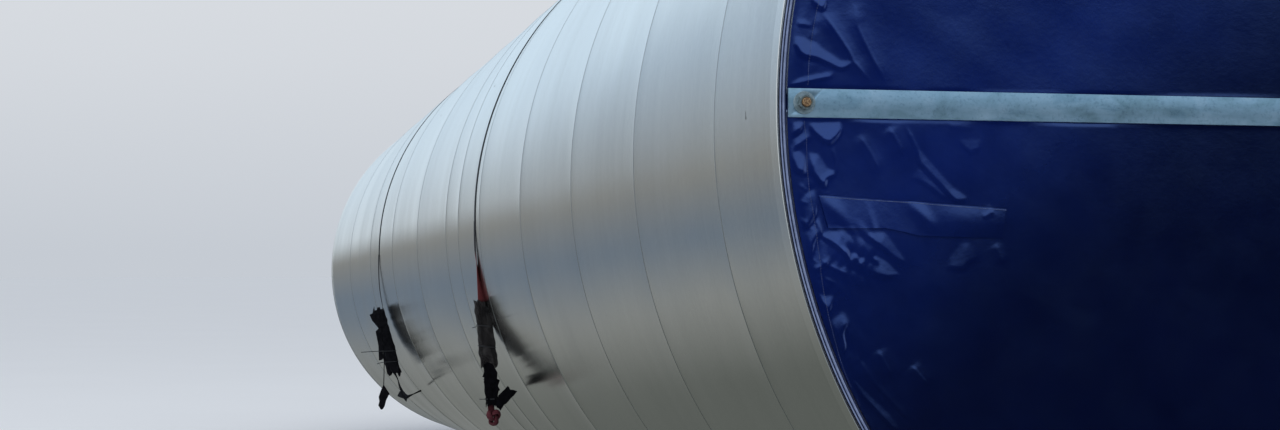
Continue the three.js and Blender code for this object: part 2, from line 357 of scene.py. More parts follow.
# dark slate; on the near strap, whose hanging web is red, this is painted shade of the webbing seen edge-on against the
# shell
M_BAND = make_cloth("band_webbing", (0.012, 0.015, 0.019), (0.036, 0.042, 0.05), 0.75, gloss=0.2)
M_RED = make_red()
M_BLACKWEB = make_cloth("web_black", (0.008, 0.009, 0.012), (0.022, 0.024, 0.03), 0.65, gloss=0.3)
M_WRAP = make_cloth("wrap_black", (0.0025, 0.0025, 0.004), (0.010, 0.010, 0.013), 0.6, 40, 0.6, gloss=0.1)
M_TAPE = make_cloth("tape_black", (0.0014, 0.0013, 0.0022), (0.0055, 0.005, 0.007), 0.6, 40, 0.6, gloss=0.06)
M_FILM = make_film()
M_TIE = make_cloth("tie_plastic", (0.02, 0.022, 0.025), (0.05, 0.052, 0.056), 0.4, 90, 0.1)


# ---- mesh helpers --------------------------------------------------------
def build(name, verts, faces, material, sharp=35, uvs=None, parts=None):
    """A closed mesh object from numpy vertices and faces, turned to face outwards."""
    verts = np.asarray(verts, float).reshape(-1, 3)
    mid = verts.mean(0)
    v = verts - mid
    volume = 0.0
    quads = np.array([f for f in faces if len(f) == 4], int).reshape(-1, 4)
    for a, b, c in ((0, 1, 2), (0, 2, 3)):
        if len(quads):
            p, q, r = v[quads[:, a]], v[quads[:, b]], v[quads[:, c]]
            volume += np.einsum("ij,ij->", p, np.cross(q, r))
    for f in faces:
        if len(f) != 4:
            for i in range(1, len(f) - 1):
                volume += float(np.dot(v[f[0]], np.cross(v[f[i]], v[f[i + 1]])))
    flip = volume < 0
    rows = [tuple(reversed(f)) if flip else tuple(f) for f in faces]
    me = bpy.data.meshes.new(name)
    me.from_pydata(verts.tolist(), [], rows)
    if uvs is not None:
        layer = me.uv_layers.new(name="UVMap")
        flat = [p for row in uvs for p in (reversed(row) if flip else row)]
        layer.data.foreach_set("uv", np.array(flat, np.float32).ravel())
    me.update()
    me.shade_smooth()
    me.set_sharp_from_angle(angle=math.radians(sharp))
    me.materials.append(material)
    o = bpy.data.objects.new(name, me)
    bpy.context.scene.collection.objects.link(o)
    return o


def wrapped(P, start=0):
    """Quads of a grid that closes both ways."""
    n, m = P.shape[:2]
    i = np.arange(n)[:, None]
    j = np.arange(m)[None, :]
    i2, j2 = (i + 1) % n, (j + 1) % m
    f = np.stack([i * m + j, i2 * m + j, i2 * m + j2, i * m + j2], -1).reshape(-1, 4)
    return (f + start).tolist()


def tube(P, start=0):
    """Faces of a tube: rings of points in a row, with an end face at each end."""
    n, m = P.shape[:2]
    i = np.arange(n - 1)[:, None]
    j = np.arange(m)[None, :]
    j2 = (j + 1) % m
    f = np.stack([i * m + j, (i + 1) * m + j, (i + 1) * m + j2, i * m + j2], -1)
    f = (f.reshape(-1, 4) + start).tolist()
    f.append([start + int(k) for k in range(m)])
    f.append([start + (n - 1) * m + int(k) for k in reversed(range(m))])
    return f


def several(name, shapes, material, sharp=35):
    """One object from several (points, faces from zero) shells, each turned outwards by itself."""
    verts, faces = [], []
    base = 0
    for P, F in shapes:
        P = np.asarray(P, float).reshape(-1, 3)
        c = P - P.mean(0)
        vol = 0.0
        for f in F:
            for i in range(1, len(f) - 1):
                a, b, d = c[f[0]], c[f[i]], c[f[i + 1]]
                vol += (
                    a[0] * (b[1] * d[2] - b[2] * d[1])
                    + a[1] * (b[2] * d[0] - b[0] * d[2])
                    + a[2] * (b[0] * d[1] - b[1] * d[0])
                )
        verts.append(P)
        faces += [[base + k for k in (reversed(f) if vol < 0 else f)] for f in F]
        base += len(P)
    return build_plain(name, np.concatenate(verts), faces, material, sharp)


def build_plain(name, verts, faces, material, sharp=35):
    me = bpy.data.meshes.new(name)
    me.from_pydata(np.asarray(verts).tolist(), [], faces)
    me.update()
    me.shade_smooth()
    me.set_sharp_from_angle(angle=math.radians(sharp))
    me.materials.append(material)
    o = bpy.data.objects.new(name, me)
    bpy.context.scene.collection.objects.link(o)
    return o


def own(o, slot, *nodes):
    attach(o, "root")
    if nodes:
        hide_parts(*nodes)
    return o


def smooth(a, b, x):
    t = np.clip((x - a) / (b - a), 0, 1)
    return t * t * (3 - 2 * t)


# ---- shell surface -------------------------------------------------------
def dent(th, s):
    """How far the plate stands off the true cone: peaks at the welds and rolling waves."""
    th, s = np.broadcast_arrays(np.asarray(th, float), np.asarray(s, float))
    d = np.zeros(s.shape)
    for k, w in enumerate(WELDS):
        a = np.abs(s - w)
        peak = 1 + 0.30 * np.sin(4 * th + 1.7 * k) + 0.25 * math.sin(2.3 * k + 1.0)
        far_side = 0.0029 * np.exp(-a / 0.19)
        near_side = 0.0009 * np.exp(-a / 0.045) + 0.0020 * np.exp(-a / 0.50)
        d += peak * np.where(s > w, far_side, near_side)
    # the lowest line stays clear of the floor
    d *= 1 - 0.85 * smooth(0.80, 0.985, -np.sin(th))
    d += 0.0005 * np.sin(3 * th + 1.1 * s + 0.4)
    d += 0.00022 * np.sin(7 * th - 3.1 * s + 1.9)
    d += 0.00012 * np.sin(13 * th + 5.3 * s)
    return d * smooth(0.0, 0.12, s) * smooth(0.0, 0.12, LENGTH - s)


# ---- strap cords, made first ---------------------------------------------
def frame_along(path):
    path = np.asarray(path, float)
    t = np.gradient(path, axis=0)
    return t / np.linalg.norm(t, axis=1)[:, None]


def resample(points, n):
    p = np.asarray(points, float)
    d = np.r_[0, np.cumsum(np.linalg.norm(np.diff(p[:, :3], axis=0), axis=1))]
    u = np.linspace(0, d[-1], n)
    # smooth through the points with a Catmull-Rom spline in arc length
    out = []
    for x in u:
        i = min(max(int(np.searchsorted(d, x)) - 1, 0), len(d) - 2)
        t = (x - d[i]) / (d[i + 1] - d[i])
        p0, p1 = p[max(i - 1, 0)], p[i]
        p2, p3 = p[i + 1], p[min(i + 2, len(p) - 1)]
        out.append(
            0.5 * (2 * p1 + (p2 - p0) * t + (2 * p0 - 5 * p1 + 4 * p2 - p3) * t * t
                   + (3 * p1 - p0 - 3 * p2 + p3) * t ** 3)
        )
    return np.array(out)


def flat_web(name, rows, y, side, thick, material, n=72):
    """A hanging flat web along rows of (x, z, width, turn in degrees from edge-on)."""
    r = resample([(x, 0, z, w, a) for x, z, w, a in rows], n)
    P = []
    prof = [(-1, -0.6), (-0.97, -1), (0.97, -1), (1, -0.6), (1, 0.6), (0.97, 1), (-0.97, 1), (-1, 0.6)]
    path = np.stack([side * r[:, 0], np.full(n, y), r[:, 2]], 1)
    t = frame_along(path)
    for c, tt, w, a in zip(path, t, r[:, 3], np.radians(r[:, 4])):
        out = np.cross([0, 1, 0], tt)
        out /= np.linalg.norm(out)
        wide = np.array([0, 1, 0]) * math.cos(a) + out * math.sin(a) * side
        flat = np.cross(wide, tt)
        P.append([c + wide * (w / 2) * u + flat * (thick / 2) * v for u, v in prof])
    P = np.array(P)
    o = build(name, P, tube(P), material, 40)
    length = float(np.linalg.norm(np.diff(path, axis=0), axis=1).sum())
    return o, path, length


NEAR_S, FAR_S = 7.05, 12.35
Y_NEAR = NEAR_S * CT + Y0
Y_FAR = FAR_S * CT + Y0
webs = {}
for side, tag in ((-1, "left"), (1, "right")):
    reach = radius(NEAR_S - STRAP_W / 2) + 0.0028
    rows = [
        (reach, 1.866, 0.042, 0), (reach - 0.0005, 1.790, 0.043, 0),
        (reach - 0.0030, 1.710, 0.045, 1), (reach - 0.0085, 1.652, 0.046, 6),
        (reach - 0.0210, 1.560, 0.048, 26), (reach - 0.0350, 1.460, 0.050, 52),
        (reach - 0.0420, 1.400, 0.050, 66), (reach - 0.0500, 1.300, 0.050, 72),
        (reach - 0.0610, 1.220, 0.050, 74), (reach - 0.0710, 1.140, 0.050, 74),
        (reach - 0.0860, 1.030, 0.050, 72), (reach - 0.0900, 0.940, 0.049, 70),
        (reach - 0.0960, 0.850, 0.048, 66), (reach - 0.0990, 0.770, 0.046, 64),
        (reach - 0.1080, 0.735, 0.045, 64),
    ]
    webs["near", tag] = flat_web(f"strap_near_{tag}_webbing", rows, Y_NEAR, side, 0.003, M_RED)
    reach = radius(FAR_S - STRAP_W / 2) + 0.0028
    rows = [
        (reach, 1.660, 0.042, 0), (reach, 1.580, 0.042, 0),
        (reach - 0.001, 1.500, 0.042, 1), (reach - 0.006, 1.420, 0.043, 2),
        (reach - 0.016, 1.340, 0.044, 4), (reach - 0.030, 1.260, 0.046, 8),
        (reach - 0.032, 1.170, 0.050, 34), (reach - 0.034, 1.090, 0.050, 56),
        (reach - 0.062, 0.940, 0.050, 62), (reach - 0.100, 0.800, 0.050, 52),
        (reach - 0.134, 0.730, 0.050, 20), (reach - 0.152, 0.690, 0.048, 14),
        (reach - 0.164, 0.645, 0.047, 24), (reach - 0.190, 0.590, 0.047, 34),
        (reach - 0.208, 0.555, 0.046, 40),
    ]
    webs["far", tag] = flat_web(f"strap_far_{tag}_webbing", rows, Y_FAR, side, 0.003, M_BLACKWEB)


# ---- shell rings ---------------------------------------------------------
edges = [NEAR_DEPTH, *WELDS, LENGTH - FAR_DEPTH]
N_TH = 384
TH = np.linspace(0, 2 * math.pi, N_TH, endpoint=False)
near_steps = np.array([0, 0.006, 0.014, 0.024, 0.036, 0.052, 0.072, 0.098, 0.132, 0.180])
for k in range(12):
    s0, s1 = edges[k] + 0.00015, edges[k + 1] - 0.00015
    half = (s1 - s0) / 2
    st = near_steps[near_steps < half - 0.03]
    gap = s1 - s0 - 2 * st[-1]
    inner = np.linspace(0, gap, max(int(round(gap / 0.11)), 2) + 1)[1:-1] + s0 + st[-1]
    stations = np.concatenate([s0 + st, inner, (s1 - st)[::-1]])
    r_out = radius(stations)[None, :] + dent(TH[:, None], stations[None, :])
    r_in = np.array([radius(s1) - WALL, radius(s0) - WALL])
    r = np.concatenate([r_out, np.broadcast_to(r_in, (N_TH, 2))], 1)
    s = np.concatenate([stations, [s1, s0]])
    P = place(r * np.cos(TH)[:, None], s[None, :], r * np.sin(TH)[:, None])
    m = len(s)
    F = wrapped(P)
    uu = np.linspace(0, 1, N_TH + 1)
    vv = np.concatenate([s, s[:1]]) / LENGTH
    UV = [
        [(uu[i], vv[j]), (uu[i + 1], vv[j]), (uu[i + 1], vv[j + 1]), (uu[i], vv[j + 1])]
        for i in range(N_TH) for j in range(m)
    ]
    o = build(f"plate_ring_{k + 1:02d}", P, F, M_SHELL, 30, UV)
    own(o, "shell", f"shell_ring_{k + 1:02d}")

# weld beads round the joints between rings
beads = []
for k, w in enumerate(WELDS):
    th = TH
    prof = [(-0.0040, 0.0002), (-0.0033, 0.0006), (-0.0014, 0.0010), (0.0012, 0.0010),
            (0.0031, 0.0006), (0.0040, 0.0002)]
    wob = 0.0003 * np.sin(23 * th + k) + 0.0002 * np.sin(41 * th)
    cols = []
    for ds, dr in prof:
        s = w + ds + wob
        cols.append((radius(s) + dent(th, s) + dr, s))
    r = np.stack([c[0] for c in cols], 1)
    s = np.stack([c[1] for c in cols], 1)
    P = place(r * np.cos(th)[:, None], s, r * np.sin(th)[:, None])
    beads.append((P, wrapped(P)))
verts = np.concatenate([p.reshape(-1, 3) for p, _ in beads])
faces = []
base = 0
for p, f in beads:
    faces += (np.array(f) + base).tolist()
    base += p.shape[0] * p.shape[1]
own(build("weld_beads", verts, faces, M_WELD, 60), "shell")

# small dark marks on the plate: (s, angle, half length along the axis, half height)
marks = []
for s_m, deg, a_m, b_m in (
    (0.4250, 179.53, 0.0052, 0.0056), (0.4275, 179.20, 0.0022, 0.0125),
    (7.5650, 153.18, 0.0130, 0.0050), (10.660, 147.5, 0.012, 0.005),
):
    q = np.linspace(0, 2 * math.pi, 14, endpoint=False)
    rings = []
    for k_m, up in ((1.0, 0.0001), (0.86, 0.0004), (0.3, 0.0006)):
        s_q = s_m + a_m * k_m * np.cos(q) * (1 + 0.2 * np.sin(3 * q + 1))
        th_q = math.radians(deg) + b_m * k_m * np.sin(q) * (1 + 0.2 * np.sin(2 * q)) / radius(s_m)
        r_q = radius(s_q) + dent(th_q, s_q) + up
        rings.append(place(r_q * np.cos(th_q), s_q, r_q * np.sin(th_q)))
    marks.append((np.array(rings), tube(np.array(rings))))
own(several("scuff_marks", marks, M_MARK, 60), "shell")


# ---- flanges -------------------------------------------------------------
def turn(profile, n=384, at=(0.0, 0.0), th0=0.0):
    """Closed loop of (r, s) points turned about an axis parallel to the section's."""
    th = np.linspace(0, 2 * math.pi, n, endpoint=False) + th0
    p = np.asarray(profile, float)
    r, s = p[:, 0][None, :], p[:, 1][None, :]
    return place(at[0] + r * np.cos(th)[:, None], s + 0 * th[:, None], at[1] + r * np.sin(th)[:, None])


def far_face(profile):
    """The same closed profile, mirrored on to the far end."""
    return [(r, LENGTH - s) for r, s in profile]


def cut(o, cutters):
    for c in cutters:
        mod = o.modifiers.new("hole", "BOOLEAN")
        mod.operation = "DIFFERENCE"
        mod.solver = "EXACT"
        mod.object = c
    dg = bpy.context.evaluated_depsgraph_get()
    me = bpy.data.meshes.new_from_object(o.evaluated_get(dg))
    o.modifiers.clear()
    old = o.data
    o.data = me
    me.name = old.name
    me.materials.clear()
    for m in old.materials:
        me.materials.append(m)
    for c in cutters:
        bpy.data.objects.remove(c)
    return o


def stud_places(r, roll, rise):
    c, d = math.cos(roll), math.sin(roll)
    return [(-r * c, rise + r * d), (r * c, rise - r * d)]


NEAR_STUDS = stud_places(R_NEAR - BOLT_IN, ROLL, RISE)
FAR_STUDS = stud_places(R_FAR - BOLT_IN, 0, 0)


def drills(places, r, s0, s1):
    out = []
    for i, at in enumerate(places):
        th = np.linspace(0, 2 * math.pi, 24, endpoint=False)
        P = np.stack([place(at[0] + r * np.cos(th), s, at[1] + r * np.sin(th)) for s in (s0, s1)])
        out.append(build(f"drill_{i}", P, tube(P), M_FLANGE))
    return out


def flange(name, r_out, r_in, depth, far, places):
    c = 0.0016
    end = r_out + (TAPER if far else -TAPER) * depth
    prof = [
        (r_in, c), (r_in + c, 0.0), (r_out - c, 0.0), (r_out, c),
        (end, depth - c), (end - c, depth - 0.00015), (r_in + c, depth - 0.00015), (r_in, depth - c),
    ]
    if far:
        prof = far_face(prof)
    P = turn(prof)
    o = build(name, P, wrapped(P), M_FLANGE, 25)
    a, b = (LENGTH - depth - 0.01, LENGTH + 0.01) if far else (-0.01, depth + 0.01)
    return cut(o, drills(places, 0.017, a, b))


own(flange("flange_ring_near", R_NEAR + PROUD, R_NEAR - NEAR_WIDTH, NEAR_DEPTH, False, NEAR_STUDS), "flange", "near_flange")
own(flange("flange_ring_far", R_FAR + PROUD, R_FAR - FAR_WIDTH, FAR_DEPTH, True, FAR_STUDS), "flange", "far_flange")


# ---- covers --------------------------------------------------------------
# Taut folds of the near cover: outlines on the cover in millimetres, each with the rise of
# its long side. The cloth lifts away from the upper edges and drops back at the lower ones.
FOLDS = [
    (1.0, [(-2035, 391), (-1971, 392), (-1979, 351), (-1988, 334), (-2006, 341), (-2021, 357)]),
    (0.8, [(-2081, 307), (-2050, 306), (-2026, 290), (-2036, 281), (-2075, 285)]),
    (1.1, [(-2086, 250), (-2054, 245), (-2037, 236), (-2016, 229), (-1981, 203), (-1932, 173), (-1897, 171), (-1886, 164), (-1919, 140), (-1940, 140), (-1975, 156), (-2017, 172), (-2059, 176), (-2076, 188), (-2089, 225)]),
    (1.2, [(-2112, 83), (-2087, 107), (-2049, 121), (-1982, 132), (-1954, 133), (-1968, 112), (-2018, 101), (-2070, 90)]),
    (1.1, [(-2044, -34), (-1933, -29), (-1926, -56), (-1944, -86), (-1967, -108), (-1997, -103), (-2027, -72)]),
    (0.9, [(-1967, -108), (-1956, -115), (-1947, -170), (-1949, -199), (-1957, -197), (-1955, -170)]),
    (1.1, [(-2045, -132), (-2008, -137), (-1978, -185), (-1950, -194), (-1956, -209), (-1979, -223), (-1989, -252), (-2014, -233), (-2036, -205)]),
    (1.1, [(-2113, -104), (-2078, -123), (-2056, -142), (-2051, -200), (-2069, -207), (-2094, -195), (-2106, -157)]),
    (0.8, [(-2079, -234), (-2062, -238), (-2042, -262), (-2057, -258), (-2074, -246)]),
    (0.7, [(-2082, -284), (-2050, -291), (-2045, -301), (-2070, -299)]),
    (0.8, [(-2083, -342), (-2056, -349), (-2031, -387), (-2039, -392), (-2066, -368)]),
    (0.8, [(-2109, -29), (-2092, -34), (-2062, -55), (-2067, -65), (-2092, -46)]),
    (1.2, [(-2020, -330), (-2001, -392), (-1930, -391), (-1920, -411), (-1896, -515), (-1927, -474), (-1976, -431), (-2006, -411), (-2026, -359)]),
    (0.9, [(-2060, -457), (-2032, -476), (-2016, -493), (-2028, -495), (-2047, -476)]),
    (1.0, [(-2012, -483), (-1992, -486), (-1947, -508), (-1912, -527), (-1917, -537), (-1957, -522), (-1997, -500)]),
    (0.7, [(-2028, -527), (-2008, -529), (-2002, -546), (-2023, -543)]),
    (0.8, [(-2003, -536), (-1973, -546), (-1953, -563), (-1963, -566), (-1993, -552)]),
    (1.0, [(-1844, -394), (-1783, -393), (-1758, -426), (-1718, -479), (-1719, -498), (-1754, -484), (-1795, -455), (-1825, -431), (-1850, -406)]),
    (1.2, [(-1840, -467), (-1795, -479), (-1770, -498), (-1730, -537), (-1776, -549), (-1816, -542), (-1836, -522), (-1826, -498)]),
    (0.9, [(-1896, -474), (-1881, -464), (-1861, -488), (-1866, -513), (-1881, -503)]),
    (1.0, [(-1712, -35), (-1687, -61), (-1662, -114), (-1637, -143), (-1586, -197), (-1545, -240), (-1497, -274), (-1497, -289), (-1536, -296), (-1556, -279), (-1589, -243), (-1637, -197), (-1665, -168), (-1670, -134), (-1697, -76)]),
    (0.6, [(-1689, -214), (-1670, -180), (-1645, -178), (-1594, -231), (-1554, -279), (-1582, -280), (-1633, -246)]),
    (0.35, [(-1527, -84), (-1439, -78), (-1445, -117), (-1482, -137), (-1512, -108)]),
    (0.3, [(-1563, -26), (-1475, -34), (-1480, -52), (-1553, -48)]),
    (0.45, [(-1560, -474), (-1518, -428), (-1487, -425), (-1461, -474), (-1514, -523), (-1565, -513)]),
    (0.9, [(-2037, -580), (-2002, -601), (-1965, -601), (-1971, -636), (-1984, -666), (-1998, -644), (-2020, -610)]),
    (0.9, [(-1911, -871), (-1884, -885), (-1840, -932), (-1773, -993), (-1738, -1044), (-1769, -1044), (-1823, -988), (-1876, -932)]),
    (0.6, [(-1892, -803), (-1861, -812), (-1826, -868), (-1772, -924), (-1727, -964), (-1706, -1015), (-1737, -994), (-1795, -933), (-1839, -885), (-1875, -838)]),
]
# thin ridges: (height, half width, points), millimetres
RIDGES = [
    (3.2, 11, [(-2006, 341), (-1986, 324), (-1959, 284), (-1931, 244), (-1904, 204), (-1886, 167), (-1848, 124), (-1813, 94)]),
    (2.4, 11, [(-1894, 374), (-1877, 340), (-1874, 289), (-1850, 239), (-1823, 185), (-1795, 138), (-1767, 81)]),
    (1.8, 10, [(-1875, -68), (-1831, -135), (-1791, -208)]),
    (2.2, 11, [(-1771, -43), (-1738, -96), (-1713, -149)]),
    (1.8, 9, [(-1449, -347), (-1397, -318)]),
    (1.4, 8, [(-1401, -430), (-1371, -504)]),
    (2.0, 12, [(-1820, -778), (-1762, -882)]),
    (2.0, 12, [(-1703, -831), (-1637, -909)]),
]
HEM = [(-1560, 1340), (-1885, 870), (-2003, 371), (-2036, 202), (-2045, 90), (-2057, -29), (-2052, -89), (-2049, -185), (-2044, -248), (-2037, -301),
       (-2028, -359), (-2019, -426), (-2012, -483), (-2006, -546), (-1985, -665), (-1935, -840), (-1860, -1000)]


def roof(x, z, poly, gain):
    """Height of a fold over its outline: gentle below the upper edges, steep by the others."""
    p = np.asarray(poly, float)
    q = np.roll(p, -1, 0)
    area = 0.5 * np.sum(p[:, 0] * q[:, 1] - q[:, 0] * p[:, 1])
    if area < 0:
        p, q = q[::-1], p[::-1]
    inside = np.zeros(x.shape, bool)
    h = np.full(x.shape, 1e9)
    for (x0, z0), (x1, z1) in zip(p, q):
        ex, ez = x1 - x0, z1 - z0
        L = math.hypot(ex, ez)
        if L < 1e-6:
            continue
        up = -ex / L  # of the outward normal (ez, -ex) / L of a counter-clockwise loop
        slope = 0.80 - 0.67 * float(smooth(-0.25, 0.50, np.array(up)))
        t = np.clip(((x - x0) * ex + (z - z0) * ez) / (L * L), 0, 1)
        d = np.hypot(x - x0 - t * ex, z - z0 - t * ez)
        h = np.minimum(h, d * slope * gain)
        hit = ((z0 > z) != (z1 > z)) & (x < (x1 - x0) * (z - z0) / (z1 - z0 + 1e-12) + x0)
        inside ^= hit
    return np.where(inside, h, 0)


def line_dist(x, z, pts):
    best = np.full(x.shape, 1e9)
    along = np.zeros(x.shape)
    total = sum(math.hypot(b[0] - a[0], b[1] - a[1]) for a, b in zip(pts, pts[1:]))
    run = 0.0
    for (x0, z0), (x1, z1) in zip(pts, pts[1:]):
        ex, ez = x1 - x0, z1 - z0
        L2 = ex * ex + ez * ez
        t = np.clip(((x - x0) * ex + (z - z0) * ez) / L2, 0, 1)
        d = np.hypot(x - x0 - t * ex, z - z0 - t * ez)
        along = np.where(d < best, (run + t * math.sqrt(L2)) / total, along)
        best = np.minimum(best, d)
        run += math.sqrt(L2)
    return best, along


def slack(x, z, seed=0.0):
    """Slow swells of the taut cloth, millimetres."""
    a, b = x / 1000, z / 1000
    return (
        2.2 * np.sin(5.1 * a + 3.7 * b + 1.3 + seed) * np.sin(4.3 * b - 2.2 * a + seed)
        + 1.0 * np.sin(11.3 * a - 7.9 * b + 0.7 + seed)
        + 0.5 * np.sin(21.0 * a + 16.0 * b + 2.1) * np.sin(13.0 * b + 1.0 + seed)
    )


def blur(g, cells):
    """Soften a grid with a Gaussian of so many cells."""
    n = int(math.ceil(cells * 2.6))
    w = np.exp(-0.5 * (np.arange(-n, n + 1) / cells) ** 2)
    w /= w.sum()
    for axis in (0, 1):
        g = sum(k * np.roll(g, i - n, axis) for i, k in enumerate(w))
    return g


# the folds are worked out on a fine grid and softened, as the cloth is stiff
FX = np.arange(-2160.0, -1230.0, 3.0)
FZ = np.arange(-1150.0, 470.0, 3.0)
gx, gz = np.meshgrid(FX, FZ, indexing="ij")
sharp_folds = np.zeros(gx.shape)
for gain, poly in FOLDS:
    sharp_folds = np.maximum(sharp_folds, roof(gx, gz, poly, gain))
fold_grid = 1.05 * blur(sharp_folds, 1.0)
ridge_grid = np.zeros(gx.shape)
for top, half, pts in RIDGES:
    d, a = line_dist(gx, gz, pts)
    fade = smooth(0, 0.22, a) * smooth(0, 0.30, 1 - a)
    ridge_grid += fade * (0.55 * top * np.maximum(0, 1 - d / (0.7 * half)) + 0.9 * top * np.exp(-((d / (2.6 * half)) ** 2)))
fold_grid += blur(ridge_grid, 0.8)
# crumpled cloth under the flap
c = np.exp(-(((gx + 1890) / 66) ** 2 + ((gz + 470) / 80) ** 2))
fold_grid += blur(c * (3.2 * np.abs(np.sin(gx / 13 + 2.2 * np.sin(gz / 31))) + 2.5 * np.abs(np.sin(gz / 19 + gx / 37))), 1.4)
# tension folds between the rim and the stitched hem
rr_ = np.hypot(gx, gz)
an_ = np.degrees(np.arctan2(gz, -gx))
between = smooth(1950, 2050, rr_) * (1 - smooth(2085, 2112, rr_))
slant = (2112 - rr_) / 12 + an_ * 0.62 + 1.6 * np.sin(an_ * 0.27 + 0.5)
fold_grid += between * 0.8 * np.sin(slant) * smooth(0.1, 0.9, np.sin(an_ * 0.43 + rr_ / 90 + 0.8))
step = (-gz + 20 * np.sin(gz / 61) + 12 * np.sin(gz / 23 + 1)) / 66 + (2112 - rr_) / 70
kept = smooth(-0.35, 0.25, np.sin(7.3 * np.floor(step) + 2.0)) * smooth(-28, -60, gz) * smooth(-900, -700, gz)
strip = smooth(2030, 2056, rr_) * (1 - smooth(2086, 2106, rr_))
fold_grid += blur(strip * kept * 6.5 * (step - np.floor(step)), 1.2)


def folded(x, z):
    """The softened folds at any place on the near cover."""
    u = np.clip((x - FX[0]) / 3.0, 0, len(FX) - 1.001)
    v = np.clip((z - FZ[0]) / 3.0, 0, len(FZ) - 1.001)
    i, j = u.astype(int), v.astype(int)
    u, v = u - i, v - j
    g = fold_grid
    h = (g[i, j] * (1 - u) + g[i + 1, j] * u) * (1 - v) + (g[i, j + 1] * (1 - u) + g[i + 1, j + 1] * u) * v
    inside = (x > FX[0]) & (x < FX[-1]) & (z > FZ[0]) & (z < FZ[-1])
    return np.where(inside, h, 0.0)


def near_height(x, z):
    swell = slack(x, z) + 1.5 * np.sin(x / 74 + z / 150 + 0.8) * np.sin(z / 118 - x / 260 + 0.4) * smooth(-1250, -1750, x)
    h = np.maximum(swell * 0.9, -1.8) + folded(x, z)
    # puckers across the stitched hem
    d, a = line_dist(x, z, HEM)
    h += 0.22 * np.exp(-((d / 16) ** 2)) * np.sin(z / 9.5 + 1.4 * np.sin(z / 41)) - 0.8 * np.exp(-((d / 5) ** 2))
    return h


def bar_hold(x, z, centre, half):
    """0 under the bar, 1 clear of it."""
    return smooth(half, half + 14, np.abs(z - centre))


def spaced(stops):
    """Places from -1 to 1 at a spacing that changes from stop to stop: (place, count to the next)."""
    out = []
    for (a, n), (b, _) in zip(stops, stops[1:]):
        out.append(np.linspace(a, b, n, endpoint=False))
    return np.concatenate(out + [[stops[-1][0]]])


def cover_disc(name, rim, us, vs, height, sign, s_base, material):
    """A thin closed round sheet: a square grid drawn out to the circle, closest where it is folded."""
    u, v = np.meshgrid(us, vs, indexing="ij")
    x = rim * u * np.sqrt(1 - v * v / 2)
    z = rim * v * np.sqrt(1 - u * u / 2)
    h = height(x * 1000, z * 1000) / 1000 * smooth(0, 0.02, rim - np.hypot(x, z))
    front = place(x, s_base + sign * (0.0048 + h), z)
    n, m = u.shape
    ring = (
        [i * m for i in range(n)] + [(n - 1) * m + j for j in range(1, m)]
        + [i * m + m - 1 for i in range(n - 2, -1, -1)] + [j for j in range(m - 2, 0, -1)]
    )
    xr, zr = x.ravel()[ring], z.ravel()[ring]
    back = place(xr, np.full(len(ring), s_base + sign * 0.0004), zr)
    c_back = place(0.0, s_base + sign * 0.0004, 0.0)[None]
    V = np.concatenate([front.reshape(-1, 3), back, c_back])
    i, j = np.meshgrid(np.arange(n - 1), np.arange(m - 1), indexing="ij")
    a = i * m + j
    F = np.stack([a, a + 1, a + m + 1, a + m], -1).reshape(-1, 4).tolist()
    k = len(ring)
    for p in range(k):
        q = (p + 1) % k
        F.append([ring[p], ring[q], n * m + q, n * m + p])
        F.append([n * m + p, n * m + q, n * m + k])
    return build(name, V, F, material, 50)


def held_near(x, z):
    centre = RISE * 1000 - x * math.tan(ROLL)
    return near_height(x, z) * bar_hold(x, z, centre, 47.5) - 0.2


def held_far(x, z):
    h = slack(x, z, 2.0) + 2.5 * np.maximum(0, np.sin(x / 160 + z / 230)) ** 6
    return np.maximum(h, -1.5) * bar_hold(x, z, 0, 47.5) - 0.2


US = spaced([(-1, 180), (-0.60, 10), (-0.45, 14), (1, 0)])
VS = spaced([(-1, 12), (-0.72, 370), (0.32, 14), (1, 0)])
cover_near = cover_disc("cover_sheet_near", R_NEAR - 0.034, US, VS, held_near, -1, 0.0, M_COVER)
cut(cover_near, drills(NEAR_STUDS, 0.017, -0.02, 0.01))
own(cover_near, "cover", "near_cover")
EVEN = np.linspace(-1, 1, 111)
cover_far = cover_disc("cover_sheet_far", R_FAR - 0.034, EVEN, EVEN, held_far, 1, LENGTH, M_COVER)
cut(cover_far, drills(FAR_STUDS, 0.017, LENGTH - 0.01, LENGTH + 0.02))
own(cover_far, "cover", "far_cover")


# corded welts round both covers
def welt_profile(rim):
    """Closed loop of (r, s) from the outside in, and the material of the face after each point.

    Materials: 0 mid, 1 painted highlight on the cords, 2 navy, 3 painted shadow in the gaps.
    """
    # painted shadow (3) in the gaps on either side; painted highlight (1) on the crown and outer flank of each cord
    rows = [(0.0052, 0.0004, 3), (0.0052, 0.0022, 3), (0.0068, 0.0024, 3)]
    for a in np.linspace(0, 180, 7):
        c = math.radians(a)
        rows.append((0.0098 - 0.0030 * math.cos(c), 0.0050 + 0.0050 * math.sin(c), 1 if 30 <= a < 120 else 2))
    rows += [(0.0134, 0.0044, 2), (0.0158, 0.0046, 0)]
    for a in np.linspace(0, 180, 9):
        c = math.radians(a)
        rows.append((0.0200 - 0.0040 * math.cos(c), 0.0060 + 0.0064 * math.sin(c), 1 if a < 157 else 0))
    rows += [(0.0248, 0.0046, 2), (0.0270, 0.0056, 2), (0.0292, 0.0052, 3), (0.0308, 0.0036, 3), (0.0308, 0.0004, 3)]
    return [(rim - d, -h) for d, h, _ in rows], [k for _, _, k in rows]


